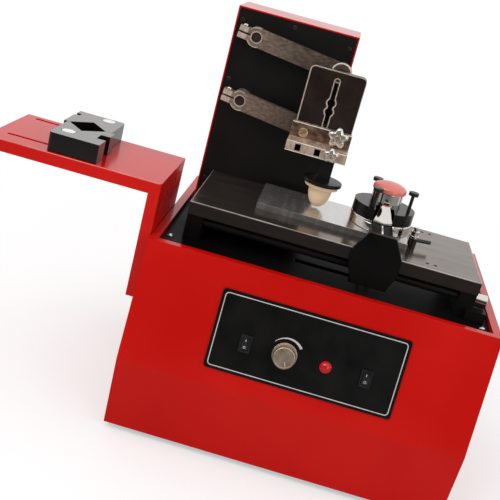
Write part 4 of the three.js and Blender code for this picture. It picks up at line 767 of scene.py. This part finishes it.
def make_arm_bands(side, front, pivot):
    """An arm's chamfers at its bore, hub and lugs, pale as painted highlight, its clamp screw and, on the
    upper arm, its tip.
    """
    body = f"{side}_swing"
    arm = front_plane(ARM_X, front, pivot, ARM_DROOP)
    rows = circle(5.05), circle(6.1)
    bands = [strip(f"{side}_arm_bore_chamfer", *rows, CHAMFER_DEEP, arm, CHAMFER_HIGHLIGHT, body)]
    for word, start, end in (("", 75, 145), ("_low", 215, 300)):
        name = f"{side}_arm_hub_chamfer{word}"
        rows = [circle(radius, 30, start, end) for radius in (9.0, 10.1)]
        bands.append(strip(name, *rows, CHAMFER_DEEP, arm, CHAMFER_HIGHLIGHT, body, closed=False))
    for word, low, high in (("top", 0.95, 6.1), ("bottom", -6.1, -0.95)):
        name = f"{side}_arm_lug_{word}"
        rows = [[(across, height) for across in (-18.8, -9.8)] for height in (low, high)]
        bands.append(strip(name, *rows, CHAMFER_DEEP, arm, CHAMFER_HIGHLIGHT, body, closed=False))
    seat = arm @ Vector((-14 * MM, 6.3 * MM, -4 * MM))
    clamp = screw_head(f"{side}_arm_clamp_screw", seat, UP, 2.6, 2.2, CHROME, body, 0.7, 20, 28)
    if side == "upper":
        tip = arm @ shifted(ARM_REACH, 0, 0)
        rows = circle(9.2), circle(10.6)
        bands.append(strip("upper_arm_tip_chamfer", *rows, CHAMFER_DEEP, tip, PALE_EDGE_HIGHLIGHT, body))
    return bands


def make_head_bands():
    """Chamfers along the cut edges of the head plate and the arms, pale as painted highlight; the head
    plate's is narrower on its right side, which catches less light.
    """
    head = front_plane(*HEAD_PLATE)
    outer, inner = rounded_loop(0.15, 56.85, 0.15, 86.35, 5.05), rounded_loop(1.3, 56.4, 1.3, 85.2, 3.9)
    bands = [strip("head_plate_chamfer", inner, outer, CHAMFER_DEEP, head, CHAMFER_HIGHLIGHT, "head")]
    slot = head @ shifted(29, 0, 0)
    holes = (54.3, 45.4)
    inner = key_outline(29, 78.5, 2.25, holes, 4.0)
    outer = key_outline(28.0, 79.5, 3.25, holes, 5.3)
    bands.append(strip("head_slot_chamfer", inner, outer, CHAMFER_DEEP, slot, CHAMFER_HIGHLIGHT, "head"))
    for side, front, pivot in ARMS:
        bands += make_arm_bands(side, front, pivot)


def make_edge_highlights():
    """Painted highlight lines along edges of the bed, the head block and the shelf."""
    left, right, front, back, top, thick = 24.5, 304.5, 64.0, 186.3, 223.6, 12.5
    inset = 0.35
    near, high, low = front + inset, top - inset, top - thick + inset
    lines = (("front", (left, near, high), (right, near, high), 0.65),
             ("left", (left + inset, front, high), (left + inset, back, high), 0.5),
             ("right", (right - inset, front, high), (right - inset, back, high), 0.5),
             ("front_low", (left, near, low), (right, near, low), 0.3))
    for word, start, end, radius in lines:
        line = highlight_line(f"bed_edge_{word}", start, end, radius, BED_EDGE_HIGHLIGHT, "casing")
    block_left, block_right, block_inset = 94.2, 154.4, 0.3
    block = (("ledge_top", 124.5, 290.7), ("ledge_low", 124.5, 281.3), ("top", 149.0, 305.2))
    for word, face, height in block:
        start, end = [(x, face + block_inset, height) for x in (block_left, block_right)]
        line = highlight_line(f"block_edge_{word}", start, end, 0.42, PALE_EDGE_HIGHLIGHT, "pad_carrier")
    # The shelf's front edge gets a painted highlight line
    shelf_left, shelf_right, shelf_front, shelf_top = -166.4, -2.2, 34.8, 240.4
    start, end = [(x, shelf_front + inset, shelf_top - inset) for x in (shelf_left, shelf_right)]
    shelf_highlight = highlight_line("shelf_front_highlight", start, end, 0.45, RED_EDGE_HIGHLIGHT, "bracket")


def lobed_knob(name, place, core, lobe, neck, length, body, node_name):
    """A chrome star knob with rounded lobes and a domed face, on a short round neck."""
    lobes, neck_share, foot = 5, 0.62, 0.02

    def star(scale):
        def reach(angle):
            wave = 0.5 + 0.5 * math.cos(lobes * (angle - math.pi / 2))
            return (core if scale == neck_share else core + lobe * wave ** 0.8) * scale
        return reach

    dome = ((0.97, 0.08), (1.0, 0.2), (1.0, 0.62), (0.97, 0.78), (0.89, 0.91), (0.76, 0.98),
            (0.55, 1), (0, 1))
    profile = [(0, 0)]
    if neck:
        profile += [(neck_share, 0), (neck_share, neck)]
    profile += [(0.86, neck + foot)] + [(scale, neck + share * length) for scale, share in dome]
    rows = [(height, star(scale) if scale else None) for scale, height in profile]
    knob = spun(name, rows, place, KNOB_CHROME, body, 120, sharp=50)
    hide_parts(node_name)


def make_star_knobs():
    """The upper star screw on its neck, and the lower one that holds the post."""
    upper, lower = facing(at(*STAR), FRONT), facing(at(*POST_SCREW), FRONT)
    neck = 4.0
    lobed_knob("star_knob_head", upper, 7.2, 3.3, neck, STAR_DEEP - neck, "height_knob", "star_knob")
    lobed_knob("post_screw_head", lower, 5.0, 2.4, 0, POST_SCREW_DEEP, "post_clamp", "post_screw")


def make_cup_trim():
    """The cup's polished lip under the clamp ring, and a polished strip along the bridge to the nose that
    stands in for a bright reflection line.
    """
    axis = Matrix.Translation(at(*CUP, 0))
    profile = [(30.2, 236.9, 0), (30.9, 237.3, 0), (31.05, 237.8, 0), (31.05, 239.4, 0), (30.8, 239.9, 0),
               (30.2, 240.1, 0), (30.2, 236.9, 0)]
    lip = turned("ink_cup_lip", profile, axis, POLISHED, "cup_carriage", 96)
    # A polished strip as painted reflection: it stands in for the bright line on the bridge's glossy top
    rows = [[(side, y - CUP[1]) for y in (BRIDGE_FRONT, BRIDGE_BACK)] for side in (-0.8, 0.8)]
    top = axis @ shifted(0, 0, BRIDGE_TOP)
    reflection_strip = strip("carriage_bridge_reflection_strip", *rows, 0.4, top, POLISHED, "cup_carriage", closed=False)


make_pad()
make_speed_dial()
make_panel_print()
make_screws()
make_head_bands()
make_edge_highlights()
make_star_knobs()
make_cup_trim()


# Stage, light and background


def ramp(tree, value, low, high, first, second):
    """first where value is below low, second above high, smooth between them."""
    node = tree.nodes.new("ShaderNodeMapRange")
    node.interpolation_type = "SMOOTHSTEP"
    node.inputs["From Min"].default_value = low
    node.inputs["From Max"].default_value = high
    node.inputs["To Min"].default_value = first
    node.inputs["To Max"].default_value = second
    tree.links.new(value, node.inputs["Value"])
    return node.outputs["Result"]


def combine(tree, operation, first, second):
    """The result of an operation on two values, each a number or a socket."""
    node = tree.nodes.new("ShaderNodeMath")
    node.operation = operation
    for value, socket in ((first, node.inputs[0]), (second, node.inputs[1])):
        if isinstance(value, (int, float)):
            socket.default_value = value
        else:
            tree.links.new(value, socket)
    return node.outputs["Value"]


def shiny_ray(tree, path):
    """1 for rays of reflections and of light through glass, else 0."""
    return combine(tree, "MAXIMUM", path.outputs["Is Glossy Ray"], path.outputs["Is Transmission Ray"])


def mix(tree, factor, first, second):
    """first where factor is 0, second where it is 1."""
    kept = combine(tree, "MULTIPLY", combine(tree, "SUBTRACT", 1.0, factor), first)
    return combine(tree, "ADD", kept, combine(tree, "MULTIPLY", factor, second))


# The floor's paleness to diffuse light, its glow to the camera near and far off, and half its width in metres
FLOOR_DIFFUSE, FLOOR_SEEN, FLOOR_FAR, FLOOR_HALF = 0.6, 0.42, 0.5, 60.0
# Name, place, target, size and power of each lamp
LAMPS = (
    ("key", (-0.9, -1.2, 1.75), (0, 0, 0.2), (1.0, 0.8), 11.5),
    ("fill", (1.3, -1.5, 0.55), (0, 0, 0.12), (0.9, 0.9), 5),
)


def make_stage():
    """A wide pale floor, darker in reflections, that fades to white for the camera."""
    data = bpy.data.meshes.new("floor")
    half = FLOOR_HALF
    corners = [(-half, -half, 0), (half, -half, 0), (half, half, 0), (-half, half, 0)]
    data.from_pydata(corners, [], [(0, 1, 2, 3)])
    floor = bpy.data.objects.new("floor", data)
    bpy.context.collection.objects.link(floor)
    material, tree, shader = new_material("pale_floor")
    shader.inputs["Roughness"].default_value = 0.9
    shader.inputs["Specular IOR Level"].default_value = 0.0
    path = tree.nodes.new("ShaderNodeLightPath")
    place = tree.nodes.new("ShaderNodeTexCoord")
    parts = tree.nodes.new("ShaderNodeSeparateXYZ")
    tree.links.new(place.outputs["Object"], parts.inputs["Vector"])
    near = ramp(tree, parts.outputs["Y"], -1.6, -0.5, 0.04, 0.3)
    behind = ramp(tree, parts.outputs["Y"], -0.1, 0.4, 0.0, 0.45)
    mirrored = combine(tree, "ADD", near, behind)
    base = mix(tree, shiny_ray(tree, path), FLOOR_DIFFUSE, mirrored)
    joined = tree.nodes.new("ShaderNodeCombineColor")
    for channel in ("Red", "Green", "Blue"):
        tree.links.new(base, joined.inputs[channel])
    tree.links.new(joined.outputs["Color"], shader.inputs["Base Color"])
    shader.inputs["Emission Color"].default_value = (1, 1, 1, 1)
    reach = tree.nodes.new("ShaderNodeVectorMath")
    reach.operation = "LENGTH"
    tree.links.new(place.outputs["Object"], reach.inputs[0])
    seen = ramp(tree, reach.outputs["Value"], 0.5, 2.2, FLOOR_SEEN, FLOOR_FAR)
    glow = combine(tree, "MULTIPLY", path.outputs["Is Camera Ray"], seen)
    tree.links.new(glow, shader.inputs["Emission Strength"])
    data.materials.append(material)


def make_world():
    """White to the camera, softer for diffuse light, and a dark studio front in reflections."""
    world = bpy.data.worlds.new("studio")
    bpy.context.scene.world = world
    world.use_nodes = True
    tree = world.node_tree
    background = tree.nodes["Background"]
    path = tree.nodes.new("ShaderNodeLightPath")
    place = tree.nodes.new("ShaderNodeTexCoord")
    parts = tree.nodes.new("ShaderNodeSeparateXYZ")
    tree.links.new(place.outputs["Generated"], parts.inputs["Vector"])
    front = ramp(tree, parts.outputs["Y"], -0.75, -0.25, 1.0, 0.0)
    low = ramp(tree, parts.outputs["Z"], 0.45, 0.75, 1.0, 0.0)
    dark = combine(tree, "MULTIPLY", front, low)
    mirrored = mix(tree, dark, 1.0, 0.05)
    unseen = mix(tree, shiny_ray(tree, path), 0.86, mirrored)
    level = mix(tree, path.outputs["Is Camera Ray"], unseen, 1.0)
    tree.links.new(level, background.inputs["Strength"])
    background.inputs["Color"].default_value = (1, 1, 1, 1)


def area_light(name, place, target, size, power):
    """A rectangular lamp that faces its target and isn't seen by the camera."""
    data = bpy.data.lights.new(name, "AREA")
    data.shape = "RECTANGLE"
    data.size, data.size_y = size
    data.energy = power
    lamp = bpy.data.objects.new(name, data)
    lamp.location = place
    lamp.rotation_euler = (Vector(target) - Vector(place)).to_track_quat("-Z", "Y").to_euler()
    lamp.visible_camera = False
    bpy.context.collection.objects.link(lamp)


make_camera()
make_stage()
make_world()
for lamp in LAMPS:
    area_light(*lamp)

bpy.context.scene.view_settings.view_transform = "Standard"
